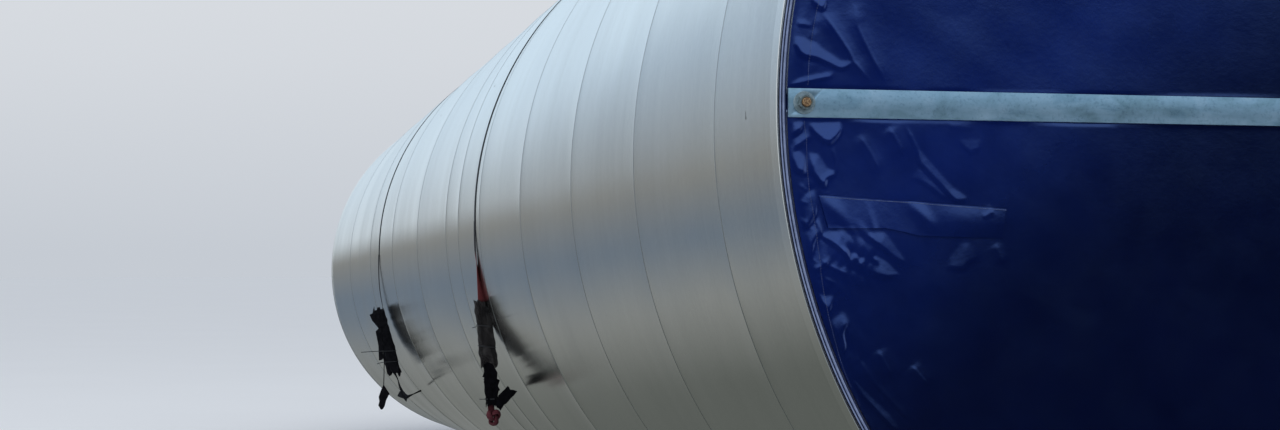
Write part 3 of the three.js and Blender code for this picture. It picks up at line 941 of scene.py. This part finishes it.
for name, rim, far, node in (
    ("cover_welt_near", R_NEAR, False, "near_cover_edge"),
    ("cover_welt_far", R_FAR, True, "far_cover_edge"),
):
    prof, kinds = welt_profile(rim)
    if far:
        prof = far_face(prof)
    P = turn(prof, 400)
    welt = build(name, P, wrapped(P), M_EDGE, 50)
    for m in (M_EDGE_HIGHLIGHT, M_EDGE_DARK, M_EDGE_SHADOW):
        welt.data.materials.append(m)
    welt.data.polygons.foreach_set("material_index", np.tile(np.array(kinds, np.int32), 400))
    own(welt, "cover_edge", node)


# stitches
def stitch_line(pts, pitch, height, sign=-1, s0=0.0, long=0.0045, wide=0.0013):
    p = resample([(x / 1000, 0, z / 1000) for x, z in pts], 400)[:, [0, 2]]
    d = np.r_[0, np.cumsum(np.linalg.norm(np.diff(p, axis=0), axis=1))]
    out = []
    for u in np.arange(pitch, d[-1], pitch):
        x, z = np.interp(u, d, p[:, 0]), np.interp(u, d, p[:, 1])
        x2, z2 = np.interp(u + 0.002, d, p[:, 0]), np.interp(u + 0.002, d, p[:, 1])
        t = np.array([x2 - x, z2 - z])
        t /= max(np.linalg.norm(t), 1e-9)
        nrm = np.array([-t[1], t[0]])
        base = height(x * 1000, z * 1000)
        pts8 = []
        for dl, w, up in ((-0.5, 0.5, 0.0), (-0.5, -0.5, 0.0), (0.5, -0.5, 0.0), (0.5, 0.5, 0.0),
                          (-0.3, 0.4, 1.0), (-0.3, -0.4, 1.0), (0.3, -0.4, 1.0), (0.3, 0.4, 1.0)):
            q = np.array([x, z]) + t * dl * long + nrm * w * wide
            pts8.append(place(q[0], s0 + sign * (base + 0.0002 + 0.0012 * up), q[1]))
        F = [[0, 1, 2, 3], [4, 7, 6, 5], [0, 4, 5, 1], [1, 5, 6, 2], [2, 6, 7, 3], [3, 7, 4, 0]]
        out.append((np.array(pts8), F))
    return out


def near_surface(x, z):
    v = held_near(np.array([float(x)]), np.array([float(z)]))[0] / 1000
    return 0.0048 + v


def clear_of_bar(pts, gap=52):
    keep, run = [], []
    for x, z in pts:
        if abs(z - (RISE * 1000 - x * math.tan(ROLL))) > gap:
            run.append((x, z))
        else:
            if len(run) > 1:
                keep.append(run)
            run = []
    if len(run) > 1:
        keep.append(run)
    return keep


hem_dense = resample([(x / 1000, 0, z / 1000) for x, z in HEM], 300)[:, [0, 2]] * 1000
stitches = []
for run in clear_of_bar([tuple(p) for p in hem_dense]):
    stitches += stitch_line(run, 0.0085, near_surface)
own(several("hem_stitches", stitches, M_STITCH), "cover")


# ---- flap ----------------------------------------------------------------
FLAP_TOP = [(-2012, -272), (-1858, -282), (-1692, -291), (-1528, -303), (-1360, -314)]
FLAP_LOW = [(-1982, -381), (-1880, -381), (-1784, -380), (-1725, -391), (-1667, -405), (-1540, -409), (-1372, -413)]


def flap_point(u, v):
    """u along the stitched top, v from the top (0) to the free lower edge (1)."""
    tx = np.interp(u, np.linspace(0, 1, len(FLAP_TOP)), [p[0] for p in FLAP_TOP])
    tz = np.interp(u, np.linspace(0, 1, len(FLAP_TOP)), [p[1] for p in FLAP_TOP])
    us = [(p[0] + 1982) / (1982 - 1372) for p in FLAP_LOW]
    lx = np.interp(u, us, [p[0] for p in FLAP_LOW])
    lz = np.interp(u, us, [p[1] for p in FLAP_LOW])
    x, z = tx + (lx - tx) * v, tz + (lz - tz) * v
    lift = 4.0 * v * (1 - smooth(0.30, 0.62, u)) + 2.2 * v * smooth(0.30, 0.62, u) * (1 - smooth(0.7, 1, u))
    lift += 1.6 * np.sin(math.pi * v) * (1 + np.sin(9 * u + 0.5)) * smooth(0.25, 0.5, u)
    lift += 2.5 * np.exp(-(((u - 0.26) / 0.02) ** 2)) * v
    lift += 3.6 * np.exp(-(((u - 0.05 - 0.04 * v) / 0.05) ** 2)) * np.sin(math.pi * np.clip(v * 1.1, 0, 1))
    lift += 5.0 * np.exp(-(((u - 0.52 - 0.08 * v) / 0.045) ** 2)) * np.sin(math.pi * np.clip(v * 1.1, 0, 1))
    return x, z, lift


nu, nv = 140, 24
uu, vv = np.meshgrid(np.linspace(0, 1, nu), np.linspace(0, 1, nv), indexing="ij")
fx, fz, lift = flap_point(uu, vv)
under = np.maximum(held_near(fx, fz), -1.0)
base = 4.8 + np.minimum(under, 4.0 + lift) + 0.8
low = np.maximum(base + lift, 4.8 + held_near(fx, fz) + 0.7) / 1000
hi = low + 0.0016
front = place(fx / 1000, -hi, fz / 1000)
back = place(fx / 1000, -low, fz / 1000)
V = np.concatenate([front.reshape(-1, 3), back.reshape(-1, 3)])
F = []
for i in range(nu - 1):
    for j in range(nv - 1):
        a = i * nv + j
        F.append([a, a + 1, a + nv + 1, a + nv])
        b = nu * nv + a
        F.append([b, b + nv, b + nv + 1, b + 1])
ring = (
    [(i, 0) for i in range(nu)] + [(nu - 1, j) for j in range(1, nv)]
    + [(i, nv - 1) for i in range(nu - 2, -1, -1)] + [(0, j) for j in range(nv - 2, 0, -1)]
)
for (i, j), (i2, j2) in zip(ring, ring[1:] + ring[:1]):
    a, b = i * nv + j, i2 * nv + j2
    F.append([a, b, nu * nv + b, nu * nv + a])
flap = own(build("cover_flap", V, F, M_COVER, 50), "cover", "near_cover_flap")


def flap_surface(x, z):
    u = min(max((x + 2012) / 652, 0), 1)
    i = int(round(u * (nu - 1)))
    return float(hi[i, 1])


flap_st = stitch_line([(x + 4, z - 5) for x, z in FLAP_TOP], 0.0078, flap_surface, -1, 0.0, 0.0060, 0.0018)
own(several("flap_stitches", flap_st, M_STITCH), "cover")


# ---- bars, washers, nuts, studs ------------------------------------------
def bar(name, rim, roll, rise, far, places):
    half, wide, thick = rim - 0.034 - 0.001, 0.095, 0.010
    c = 0.0014
    prof = [
        (-wide / 2 + c, 0), (wide / 2 - c, 0), (wide / 2 - c * 0.3, c * 0.3), (wide / 2, c),
        (wide / 2, thick - c), (wide / 2 - c * 0.3, thick - c * 0.3), (wide / 2 - c, thick),
        (-wide / 2 + c, thick), (-wide / 2 + c * 0.3, thick - c * 0.3), (-wide / 2, thick - c),
        (-wide / 2, c), (-wide / 2 + c * 0.3, c * 0.3),
    ]
    xs = np.concatenate([[-half, -half + 0.0014], np.linspace(-half + 0.05, half - 0.05, 60), [half - 0.0014, half]])
    rings = []
    for i, x in enumerate(xs):
        k = 0.985 if i in (0, len(xs) - 1) else 1.0
        row = []
        for w, t in prof:
            ww = w * k
            tt = thick / 2 + (t - thick / 2) * (0.82 if k < 1 else 1)
            X = x * math.cos(roll) + ww * math.sin(roll)
            Z = rise - x * math.sin(roll) + ww * math.cos(roll)
            s = -0.0066 - tt
            row.append(place(X, LENGTH - s if far else s, Z))
        rings.append(row)
    P = np.array(rings)
    o = build(name, P, tube(P), M_BAR, 40)
    o.data.materials.append(M_BAR_EDGE_HIGHLIGHT)
    # the chamfers and the end faces take the painted highlight
    chamfers = {1, 2, 4, 5, 7, 8, 10, 11}
    kinds = np.zeros(len(o.data.polygons), np.int32)
    for i in range(len(xs) - 1):
        for j in range(12):
            kinds[i * 12 + j] = int(j in chamfers or i in (0, len(xs) - 2))
    o.data.polygons.foreach_set("material_index", kinds)
    a, b = (LENGTH - 0.01, LENGTH + 0.03) if far else (-0.03, 0.01)
    return cut(o, drills(places, 0.017, a, b))


own(bar("flat_bar_near", R_NEAR, ROLL, RISE, False, NEAR_STUDS), "bar", "near_bar")
own(bar("flat_bar_far", R_FAR, 0, 0, True, FAR_STUDS), "bar", "far_bar")


def hexagon(at, across, s0, s1, turn_by, chamfer=0.002):
    """Nut body: a hexagon with turned corners, and a bore for the stud."""
    n = 72
    th = np.linspace(0, 2 * math.pi, n, endpoint=False)
    a = (th - turn_by) % (math.pi / 3) - math.pi / 6
    flat = across / 2 / np.cos(a)
    rim = across / 2 * 1.06
    bore = 0.0156
    d = 1 if s1 > s0 else -1
    prof = [
        (np.full(n, bore), s0), (np.minimum(flat, rim) * 0.985, s0), (np.minimum(flat, rim * 1.08), s0 + d * chamfer),
        (np.minimum(flat, rim * 1.08), s1 - d * chamfer), (np.minimum(flat, rim) * 0.97, s1), (np.full(n, bore + 0.0024), s1),
        (np.full(n, bore), s1 - d * 0.0024),
    ]
    P = np.stack([place(at[0] + r * np.cos(th), np.full(n, s), at[1] + r * np.sin(th)) for r, s in prof], 1)
    return P, wrapped(P)


def washer(at, s0, s1, r0=0.0158, r1=0.0375):
    d = 1 if s1 > s0 else -1
    c = 0.0009 * d
    prof = [(r0, s0), (r1 - 0.0009, s0), (r1, s0 + c), (r1, s1 - c), (r1 - 0.0009, s1), (r0, s1)]
    P = turn(prof, 72, at)
    return P, wrapped(P)


def rod(at, r, s0, s1, far):
    """Threaded rod with chamfered ends."""
    n = 40
    th = np.linspace(0, 2 * math.pi, n, endpoint=False)
    lo, hi_ = min(s0, s1), max(s0, s1)
    ss, rr = [lo, lo + 0.0018], [r - 0.0024, r - 0.0004]
    x = lo + 0.003
    while x < hi_ - 0.003:
        ss += [x, x + 0.0016]
        rr += [r - 0.0012, r - 0.0002]
        x += 0.0034
    ss += [hi_ - 0.0018, hi_]
    rr += [r - 0.0004, r - 0.0024]
    P = np.array([place(at[0] + q * np.cos(th), np.full(n, s), at[1] + q * np.sin(th)) for s, q in zip(ss, rr)])
    return P, tube(P)


for end, places, depth in (("near", NEAR_STUDS, NEAR_DEPTH), ("far", FAR_STUDS, FAR_DEPTH)):
    far = end == "far"
    for at, sd in zip(places, ("left", "right")):
        f = (lambda s: LENGTH - s) if far else (lambda s: s)
        spin = 0.35 if sd == "left" else 0.1
        rod_o = several(f"threaded_rod_{end}_{sd}", [rod(at, 0.015, f(-0.0519), f(depth + 0.0223), far)], M_STUD, 30)
        own(rod_o, "stud", f"{end}_stud_{sd}")
        nut_o = several(
            f"nuts_{end}_{sd}",
            [
                hexagon(at, 0.046, f(-0.0231), f(-0.0449), spin),
                hexagon(at, 0.046, f(depth + 0.0003), f(depth + 0.0223), spin + 0.2),
            ],
            M_NUT, 30,
        )
        own(nut_o, "stud")
        own(several(f"washer_{end}_{sd}", [washer(at, f(-0.0169), f(-0.0229))], M_WASHER, 30), "stud")


# ---- strap bands over the shell ------------------------------------------
for name, s0, node in (("strap_band_near", NEAR_S, "strap_near_band"), ("strap_band_far", FAR_S, "strap_far_band")):
    th = np.linspace(-0.0055, math.pi + 0.0055, 200)
    prof = [(-0.0215, 0.0008), (-0.0207, 0.0005), (0.0207, 0.0005), (0.0215, 0.0008), (0.0215, 0.0021), (0.0207, 0.0025), (-0.0207, 0.0025), (-0.0215, 0.0021)]
    wob = 0.0015 * np.sin(5 * th) * np.sin(th)
    P = np.stack(
        [
            place(
                (radius(s0 + ds) + dent(th, s0 + ds) + dr) * np.cos(th),
                s0 + ds + wob,
                (radius(s0 + ds) + dent(th, s0 + ds) + dr) * np.sin(th),
            )
            for ds, dr in prof
        ],
        1,
    )
    own(build(name, P, tube(P), M_BAND, 40), "sleeve", node)


# ---- hanging ends --------------------------------------------------------
def lean(side, x, y, z):
    return np.array([side * x, y, z])


def sleeve_tube(name, rows, y, side, material, wall, seed, ragged=0.0, around=40, n=64):
    """An open, wrinkled wrap: rows of (outer x, inner x, depth along y, z), double walled."""
    r = resample([(a, b, c, z) for a, b, c, z in rows], n)
    th = np.linspace(0, 2 * math.pi, around, endpoint=False)
    outer, inner = [], []
    for k, (a, b, dep, z) in enumerate(r):
        cx, hx = (a + b) / 2, abs(a - b) / 2
        u = k / (n - 1)
        wr = 1 + 0.05 * np.sin(3 * th + 9 * u + seed) + 0.035 * np.sin(5 * th - 23 * u + seed)
        wr += 0.03 * np.sin(2 * th + 41 * u)
        tip = ragged * (np.sin(4 * th + seed) + 0.6 * np.sin(9 * th)) * (abs(2 * u - 1) ** 6)
        ex = np.sign(np.cos(th)) * np.abs(np.cos(th)) ** 0.75
        ey = np.sign(np.sin(th)) * np.abs(np.sin(th)) ** 0.85
        X = cx + hx * ex * wr
        Yv = y + dep / 2 * ey * wr
        outer.append(np.stack([side * X, Yv, z + tip + 0 * th], -1))
        k2 = max(0.0, 1 - wall / hx)
        k3 = max(0.0, 1 - wall / (dep / 2))
        inner.append(np.stack([side * (cx + hx * ex * wr * k2), y + dep / 2 * ey * wr * k3, z + tip + 0 * th], -1))
    P = np.concatenate([np.array(outer), np.array(inner)[::-1]])
    P = np.swapaxes(P, 0, 1)
    return build(name, P, wrapped(P), material, 60)


def plate(name, outline, y, side, thick, material, bow=0.0):
    """A thin flat piece in an upright plane across the section: outline of (x, z)."""
    p = np.asarray(outline, float)
    shell = []
    for d in (-thick / 2, thick / 2):
        shell.append(np.stack([side * p[:, 0], np.full(len(p), y) + d + bow * np.sin(np.linspace(0, 3, len(p))), p[:, 1]], -1))
    P = np.array(shell)
    return build(name, P, tube(P), material, 30)


def tie_loop(name, a, b, dep, y, side, z_a, z_b, material, thick=0.0022, wide=0.0046):
    th = np.linspace(0, 2 * math.pi, 40, endpoint=False)
    cx, hx = (a + b) / 2, abs(a - b) / 2
    prof = [(0, -wide / 2), (thick, -wide / 2), (thick, wide / 2), (0, wide / 2)]
    P = np.array([
        [
            lean(side, cx + (hx + dr) * math.cos(t), y + (dep / 2 + dr) * math.sin(t),
                 z_a + (z_b - z_a) * (1 - math.cos(t)) / 2 + dz)
            for dr, dz in prof
        ]
        for t in th
    ])
    return build(name, P, wrapped(P), material, 30)


def rodlet(name, pts, r, material, side, y, flat=1.0):
    p = resample([(side * x, y + dy, z) for x, dy, z in pts], 24)
    t = frame_along(p)
    th = np.linspace(0, 2 * math.pi, 8, endpoint=False)
    P = []
    for c, d in zip(p, t):
        a = np.cross(d, [0, 1, 0])
        a /= np.linalg.norm(a)
        b = np.cross(d, a)
        P.append([c + a * r * math.cos(q) + b * r * flat * math.sin(q) for q in th])
    P = np.array(P)
    return build(name, P, tube(P), material, 40)


def knot(name, cx, cz, size, y, side, material):
    """A lumpy overhand knot: a trefoil of flat webbing drawn tight."""
    n = 96
    t = np.linspace(0, 2 * math.pi, n, endpoint=False)
    x = (np.sin(t) + 2 * np.sin(2 * t)) / 3.2
    z = (np.cos(t) - 2 * np.cos(2 * t)) / 3.2
    d = -np.sin(3 * t) / 1.6
    c = np.stack([side * (cx + size * 0.78 * x), y + size * 0.62 * d, cz + size * z], -1)
    tang = np.roll(c, -1, 0) - np.roll(c, 1, 0)
    tang /= np.linalg.norm(tang, axis=1)[:, None]
    out = c - c.mean(0)
    out /= np.linalg.norm(out, axis=1)[:, None]
    bi = np.cross(tang, out)
    bi /= np.linalg.norm(bi, axis=1)[:, None]
    nn = np.cross(bi, tang)
    P = np.array([
        [c[i] + bi[i] * size * 0.40 * math.cos(a) + nn[i] * size * 0.24 * math.sin(a)
         for a in np.linspace(0, 2 * math.pi, 10, endpoint=False)]
        for i in range(n)
    ])
    return build(name, P, wrapped(P), material, 50)


for side, sd in ((-1, "left"), (1, "right")):
    # near strap: film sleeve, two ties, black wrap with a loose flap, and a knot
    web, path, length = webs["near", sd]
    film = sleeve_tube(
        f"film_sleeve_near_{sd}",
        [(1.878, 1.803, 0.048, 1.402), (1.872, 1.786, 0.042, 1.333), (1.863, 1.773, 0.037, 1.270), (1.858, 1.763, 0.036, 1.205),
         (1.851, 1.749, 0.036, 1.128), (1.842, 1.738, 0.038, 1.064), (1.833, 1.742, 0.036, 1.018)],
        Y_NEAR, side, M_FILM, 0.0015, 1.0 + side, 0.006,
    )
    own(film, "sleeve", f"strap_near_{sd}_sleeve")
    wrap = sleeve_tube(
        f"wrap_near_{sd}",
        [(1.823, 1.764, 0.030, 1.040), (1.821, 1.757, 0.032, 0.975), (1.818, 1.742, 0.034, 0.935), (1.815, 1.734, 0.034, 0.890),
         (1.813, 1.738, 0.034, 0.850), (1.808, 1.752, 0.030, 0.800)],
        Y_NEAR, side, M_TAPE, 0.002, 4.0 + side, 0.012,
    )
    own(wrap, "sleeve", f"strap_near_{sd}_tail")
    loose = plate(
        f"loose_flap_near_{sd}",
        [(1.757, 0.806), (1.752, 0.834), (1.741, 0.842), (1.739, 0.852), (1.712, 0.879), (1.700, 0.889), (1.684, 0.907), (1.676, 0.902),
         (1.669, 0.886), (1.650, 0.884), (1.627, 0.876), (1.645, 0.853), (1.662, 0.838), (1.690, 0.806), (1.706, 0.797), (1.712, 0.786),
         (1.727, 0.764), (1.735, 0.776), (1.748, 0.782)],
        Y_NEAR - 0.020, side, 0.004, M_TAPE,
    )
    own(loose, "sleeve")
    ends = plate(
        f"tape_ends_near_{sd}",
        [(1.806, 1.046), (1.829, 1.030), (1.820, 0.996), (1.833, 0.962), (1.819, 0.955), (1.825, 0.930), (1.811, 0.900),
         (1.817, 0.862), (1.803, 0.846), (1.804, 0.803), (1.792, 0.792), (1.781, 0.806), (1.765, 0.784), (1.757, 0.826), (1.742, 0.838),
         (1.744, 0.872), (1.728, 0.884), (1.741, 0.908), (1.729, 0.941), (1.746, 0.950), (1.744, 0.985), (1.757, 1.010), (1.775, 1.036)],
        Y_NEAR - 0.0185, side, 0.003, M_TAPE,
    )
    own(ends, "sleeve")
    t1 = tie_loop(f"tie_upper_near_{sd}", 1.8655, 1.770, 0.038, Y_NEAR, side, 1.262, 1.253, M_TIE)
    t2 = tie_loop(f"tie_lower_near_{sd}", 1.8555, 1.751, 0.040, Y_NEAR, side, 1.142, 1.131, M_TIE)
    t3 = tie_loop(f"tie_wrap_near_{sd}", 1.816, 1.734, 0.038, Y_NEAR, side, 0.832, 0.832, M_TIE)
    e1 = rodlet(f"tie_end_upper_near_{sd}", [(1.858, -0.017, 1.255), (1.872, -0.018, 1.252), (1.892, -0.016, 1.247)], 0.0022, M_TIE, side, Y_NEAR)
    e3 = rodlet(f"tie_end_wrap_near_{sd}", [(1.800, -0.021, 0.832), (1.825, -0.022, 0.832), (1.852, -0.020, 0.833)], 0.0022, M_TIE, side, Y_NEAR)
    kn = knot(f"knot_near_{sd}", 1.763, 0.728, 0.046, Y_NEAR, side, M_RED)
    for o in (t1, t2, t3, e1, e3):
        own(o, "sleeve")
    own(kn, "webbing")
    own(web, "webbing", f"strap_near_{sd}_web")

    # far strap: black sleeve with a flared top and a lap, ties, a tag on a string
    web, path, length = webs["far", sd]
    body = sleeve_tube(
        f"wrap_far_{sd}",
        [(1.700, 1.627, 0.036, 1.236), (1.716, 1.606, 0.036, 1.175), (1.676, 1.590, 0.036, 1.105), (1.660, 1.569, 0.036, 1.035), (1.637, 1.537, 0.036, 0.940),
         (1.626, 1.519, 0.036, 0.862), (1.611, 1.500, 0.036, 0.780), (1.596, 1.490, 0.034, 0.742)],
        Y_FAR, side, M_WRAP, 0.002, 2.0 + side, 0.016,
    )
    own(body, "sleeve", f"strap_far_{sd}_sleeve")
    flare = plate(
        f"flared_top_far_{sd}",
        [(1.640, 1.244), (1.703, 1.231), (1.708, 1.216), (1.741, 1.198), (1.722, 1.155), (1.673, 1.096), (1.640, 1.110)],
        Y_FAR - 0.021, side, 0.004, M_WRAP,
    )
    own(flare, "sleeve")
    lap = plate(
        f"lap_far_{sd}",
        [(1.652, 1.095), (1.671, 1.092), (1.694, 1.070), (1.672, 0.960), (1.668, 0.845), (1.645, 0.850), (1.634, 0.860), (1.640, 0.960)],
        Y_FAR - 0.022, side, 0.004, M_WRAP,
    )
    own(lap, "sleeve")
    tail = plate(
        f"end_far_{sd}",
        [(1.505, 0.604), (1.522, 0.570), (1.508, 0.560), (1.474, 0.548), (1.452, 0.522), (1.444, 0.548), (1.338, 0.616), (1.333, 0.603), (1.440, 0.575), (1.456, 0.586), (1.480, 0.615)],
        Y_FAR - 0.006, side, 0.006, M_BLACKWEB,
    )
    own(tail, "sleeve", f"strap_far_{sd}_tail")
    t1 = tie_loop(f"tie_upper_far_{sd}", 1.6340, 1.531, 0.040, Y_FAR, side, 0.916, 0.920, M_TIE)
    t2 = tie_loop(f"tie_lower_far_{sd}", 1.6235, 1.514, 0.040, Y_FAR, side, 0.832, 0.838, M_TIE)
    e1 = rodlet(f"tie_end_upper_far_{sd}", [(1.630, -0.026, 0.918), (1.700, -0.026, 0.916), (1.760, -0.026, 0.913), (1.806, -0.024, 0.910)], 0.0030, M_TIE, side, Y_FAR)
    e2 = rodlet(f"tie_end_lower_far_{sd}", [(1.625, -0.026, 0.833), (1.655, -0.026, 0.828), (1.684, -0.024, 0.819)], 0.0028, M_TIE, side, Y_FAR)
    cord_tag = rodlet(f"tag_string_far_{sd}", [(1.627, -0.027, 0.842), (1.629, -0.026, 0.740), (1.631, -0.024, 0.652)], 0.0034, M_WRAP, side, Y_FAR)
    tag = plate(
        f"tag_far_{sd}",
        [(1.632, 0.660), (1.610, 0.626), (1.586, 0.590), (1.612, 0.538), (1.624, 0.492), (1.638, 0.470), (1.652, 0.466), (1.672, 0.498), (1.664, 0.530), (1.669, 0.565), (1.652, 0.615)],
        Y_FAR - 0.024, side, 0.010, M_WRAP,
    )
    for o in (t1, t2, e1, e2, cord_tag):
        own(o, "sleeve")
    own(tag, "sleeve", f"strap_far_{sd}_tag")
    own(web, "webbing", f"strap_far_{sd}_web")


# ---- floor, light, world -------------------------------------------------
fl = bpy.data.meshes.new("floor")
fl.from_pydata([(-150, -150, -0.0005), (150, -150, -0.0005), (150, 150, -0.0005), (-150, 150, -0.0005)], [], [(0, 1, 2, 3)])
floor = bpy.data.objects.new("floor", fl)
bpy.context.scene.collection.objects.link(floor)
kf = Look("floor_matte", (0.90, 0.905, 0.91), 0.9)
kf.put(kf.ramp(kf.noise(kf.coords((1, 1, 1)), 0.4, 3, 0.5), [(0.3, (0.895, 0.90, 0.905)), (0.7, (0.905, 0.91, 0.915))]), "Base Color")
kf.b.inputs["Specular IOR Level"].default_value = 0
fl.materials.append(kf.m)
floor.visible_glossy = False

sun_data = bpy.data.lights.new("soft_light", "AREA")
sun_data.shape = "RECTANGLE"
sun_data.size = 26
sun_data.size_y = 26
sun_data.energy = 1500
sun_data.color = (0.96, 0.98, 1.0)
sun = bpy.data.objects.new("soft_light", sun_data)
sun.location = (-9, -9, 19)
sun.rotation_euler = (Vector((0, 0, 1.5)) - Vector(sun.location)).to_track_quat("-Z", "Y").to_euler()
sun.visible_glossy = False
bpy.context.scene.collection.objects.link(sun)

world = bpy.data.worlds.new("studio")
bpy.context.scene.world = world
world.use_nodes = True
wn, wl = world.node_tree.nodes, world.node_tree.links
wn.clear()


def node(kind, **props):
    x = wn.new(kind)
    for k, v in props.items():
        setattr(x, k, v)
    return x


def math_node(op, a, b=None, c=None):
    x = node("ShaderNodeMath", operation=op)
    for i, v in enumerate((a, b, c)):
        if v is None:
            continue
        if isinstance(v, (int, float)):
            x.inputs[i].default_value = v
        else:
            wl.new(v, x.inputs[i])
    return x.outputs[0]


tc = node("ShaderNodeTexCoord")
sep = node("ShaderNodeSeparateXYZ")
wl.new(tc.outputs["Generated"], sep.inputs[0])
elev = math_node("DEGREES", math_node("ARCSINE", sep.outputs["Z"]))
azim = math_node("DEGREES", math_node("ARCTAN2", sep.outputs["X"], sep.outputs["Y"]))


def gradient(stops):
    """Colour by elevation in degrees, -20 to 40."""
    fac = math_node("DIVIDE", math_node("ADD", elev, 20.0), 60.0)
    r = node("ShaderNodeValToRGB")
    e = r.color_ramp.elements
    e.remove(e[-1])
    e[0].position = (stops[0][0] + 20) / 60
    e[0].color = (*stops[0][1], 1)
    for a, c in stops[1:]:
        e.new((a + 20) / 60).color = (*c, 1)
    wl.new(fac, r.inputs["Fac"])
    return r.outputs["Color"]


# what the gloss reflects, in plain bands: pale sky, trees, a hedge, a light road and dark grass
GRASS, ROAD, HEDGE, TREES = (0.11, 0.12, 0.11), (0.26, 0.27, 0.26), (0.14, 0.18, 0.23), (0.23, 0.235, 0.225)
SKY_DIM, SKY_LOW, SKY, SKY_HIGH = (0.36, 0.45, 0.55), (0.66, 0.74, 0.80), (0.64, 0.79, 0.92), (0.78, 0.92, 1.06)
AHEAD = gradient([
    (-20, GRASS), (-12, GRASS), (-8, ROAD), (-5, HEDGE), (-3, HEDGE), (0, TREES), (1.5, SKY_LOW), (8, SKY),
    (40, SKY_HIGH),
])
LEFT = gradient([
    (-20, GRASS), (-13, GRASS), (-8, ROAD), (-4, HEDGE), (0, TREES), (8, SKY_DIM), (20, SKY), (40, SKY_HIGH),
])
BEHIND = gradient([
    (-20, (0.01, 0.01, 0.01)), (0, (0.01, 0.01, 0.02)), (7, (0.02, 0.02, 0.03)), (10, (0.11, 0.14, 0.17)),
    (14, (0.40, 0.48, 0.58)), (19, (0.75, 0.90, 1.05)), (40, (0.95, 1.10, 1.28)),
])
PANEL = gradient([(-20, (0.22, 0.25, 0.27)), (0, (0.66, 0.72, 0.76)), (30, (0.86, 0.92, 0.96))])


def blend(a, b, fac):
    x = node("ShaderNodeMix", data_type="RGBA")
    wl.new(fac, x.inputs["Factor"])
    wl.new(a, x.inputs["A"])
    wl.new(b, x.inputs["B"])
    return x.outputs["Result"]


def ramp01(value, lo, hi):
    m = node("ShaderNodeMapRange", interpolation_type="SMOOTHSTEP")
    wl.new(value, m.inputs["Value"])
    m.inputs["From Min"].default_value = lo
    m.inputs["From Max"].default_value = hi
    return m.outputs["Result"]


to_left = ramp01(math_node("MULTIPLY", azim, -1.0), 4.4, 6.4)
front_col = blend(AHEAD, LEFT, to_left)
around = ramp01(math_node("ABSOLUTE", azim), 60, 85)
side_col = blend(front_col, PANEL, around)
back_side = ramp01(math_node("ABSOLUTE", azim), 118, 136)
gloss_col = blend(side_col, BEHIND, back_side)

lp = node("ShaderNodeLightPath")
rgb_soft = node("ShaderNodeRGB")
rgb_soft.outputs[0].default_value = (0.62, 0.66, 0.72, 1)
BACKDROP = gradient([(-20, (0.56, 0.597, 0.652)), (0, (0.56, 0.597, 0.652)), (4, (0.66, 0.69, 0.735)), (14, (0.80, 0.825, 0.85))])
mix1 = blend(rgb_soft.outputs[0], gloss_col, lp.outputs["Is Glossy Ray"])
mix2 = blend(mix1, BACKDROP, lp.outputs["Is Camera Ray"])
bg = node("ShaderNodeBackground")
wl.new(mix2, bg.inputs["Color"])
wo = node("ShaderNodeOutputWorld")
wl.new(bg.outputs[0], wo.inputs["Surface"])

bpy.context.scene.view_settings.view_transform = "Standard"

# ---- update the scene ----------------------------------------------------
bpy.context.view_layer.update()
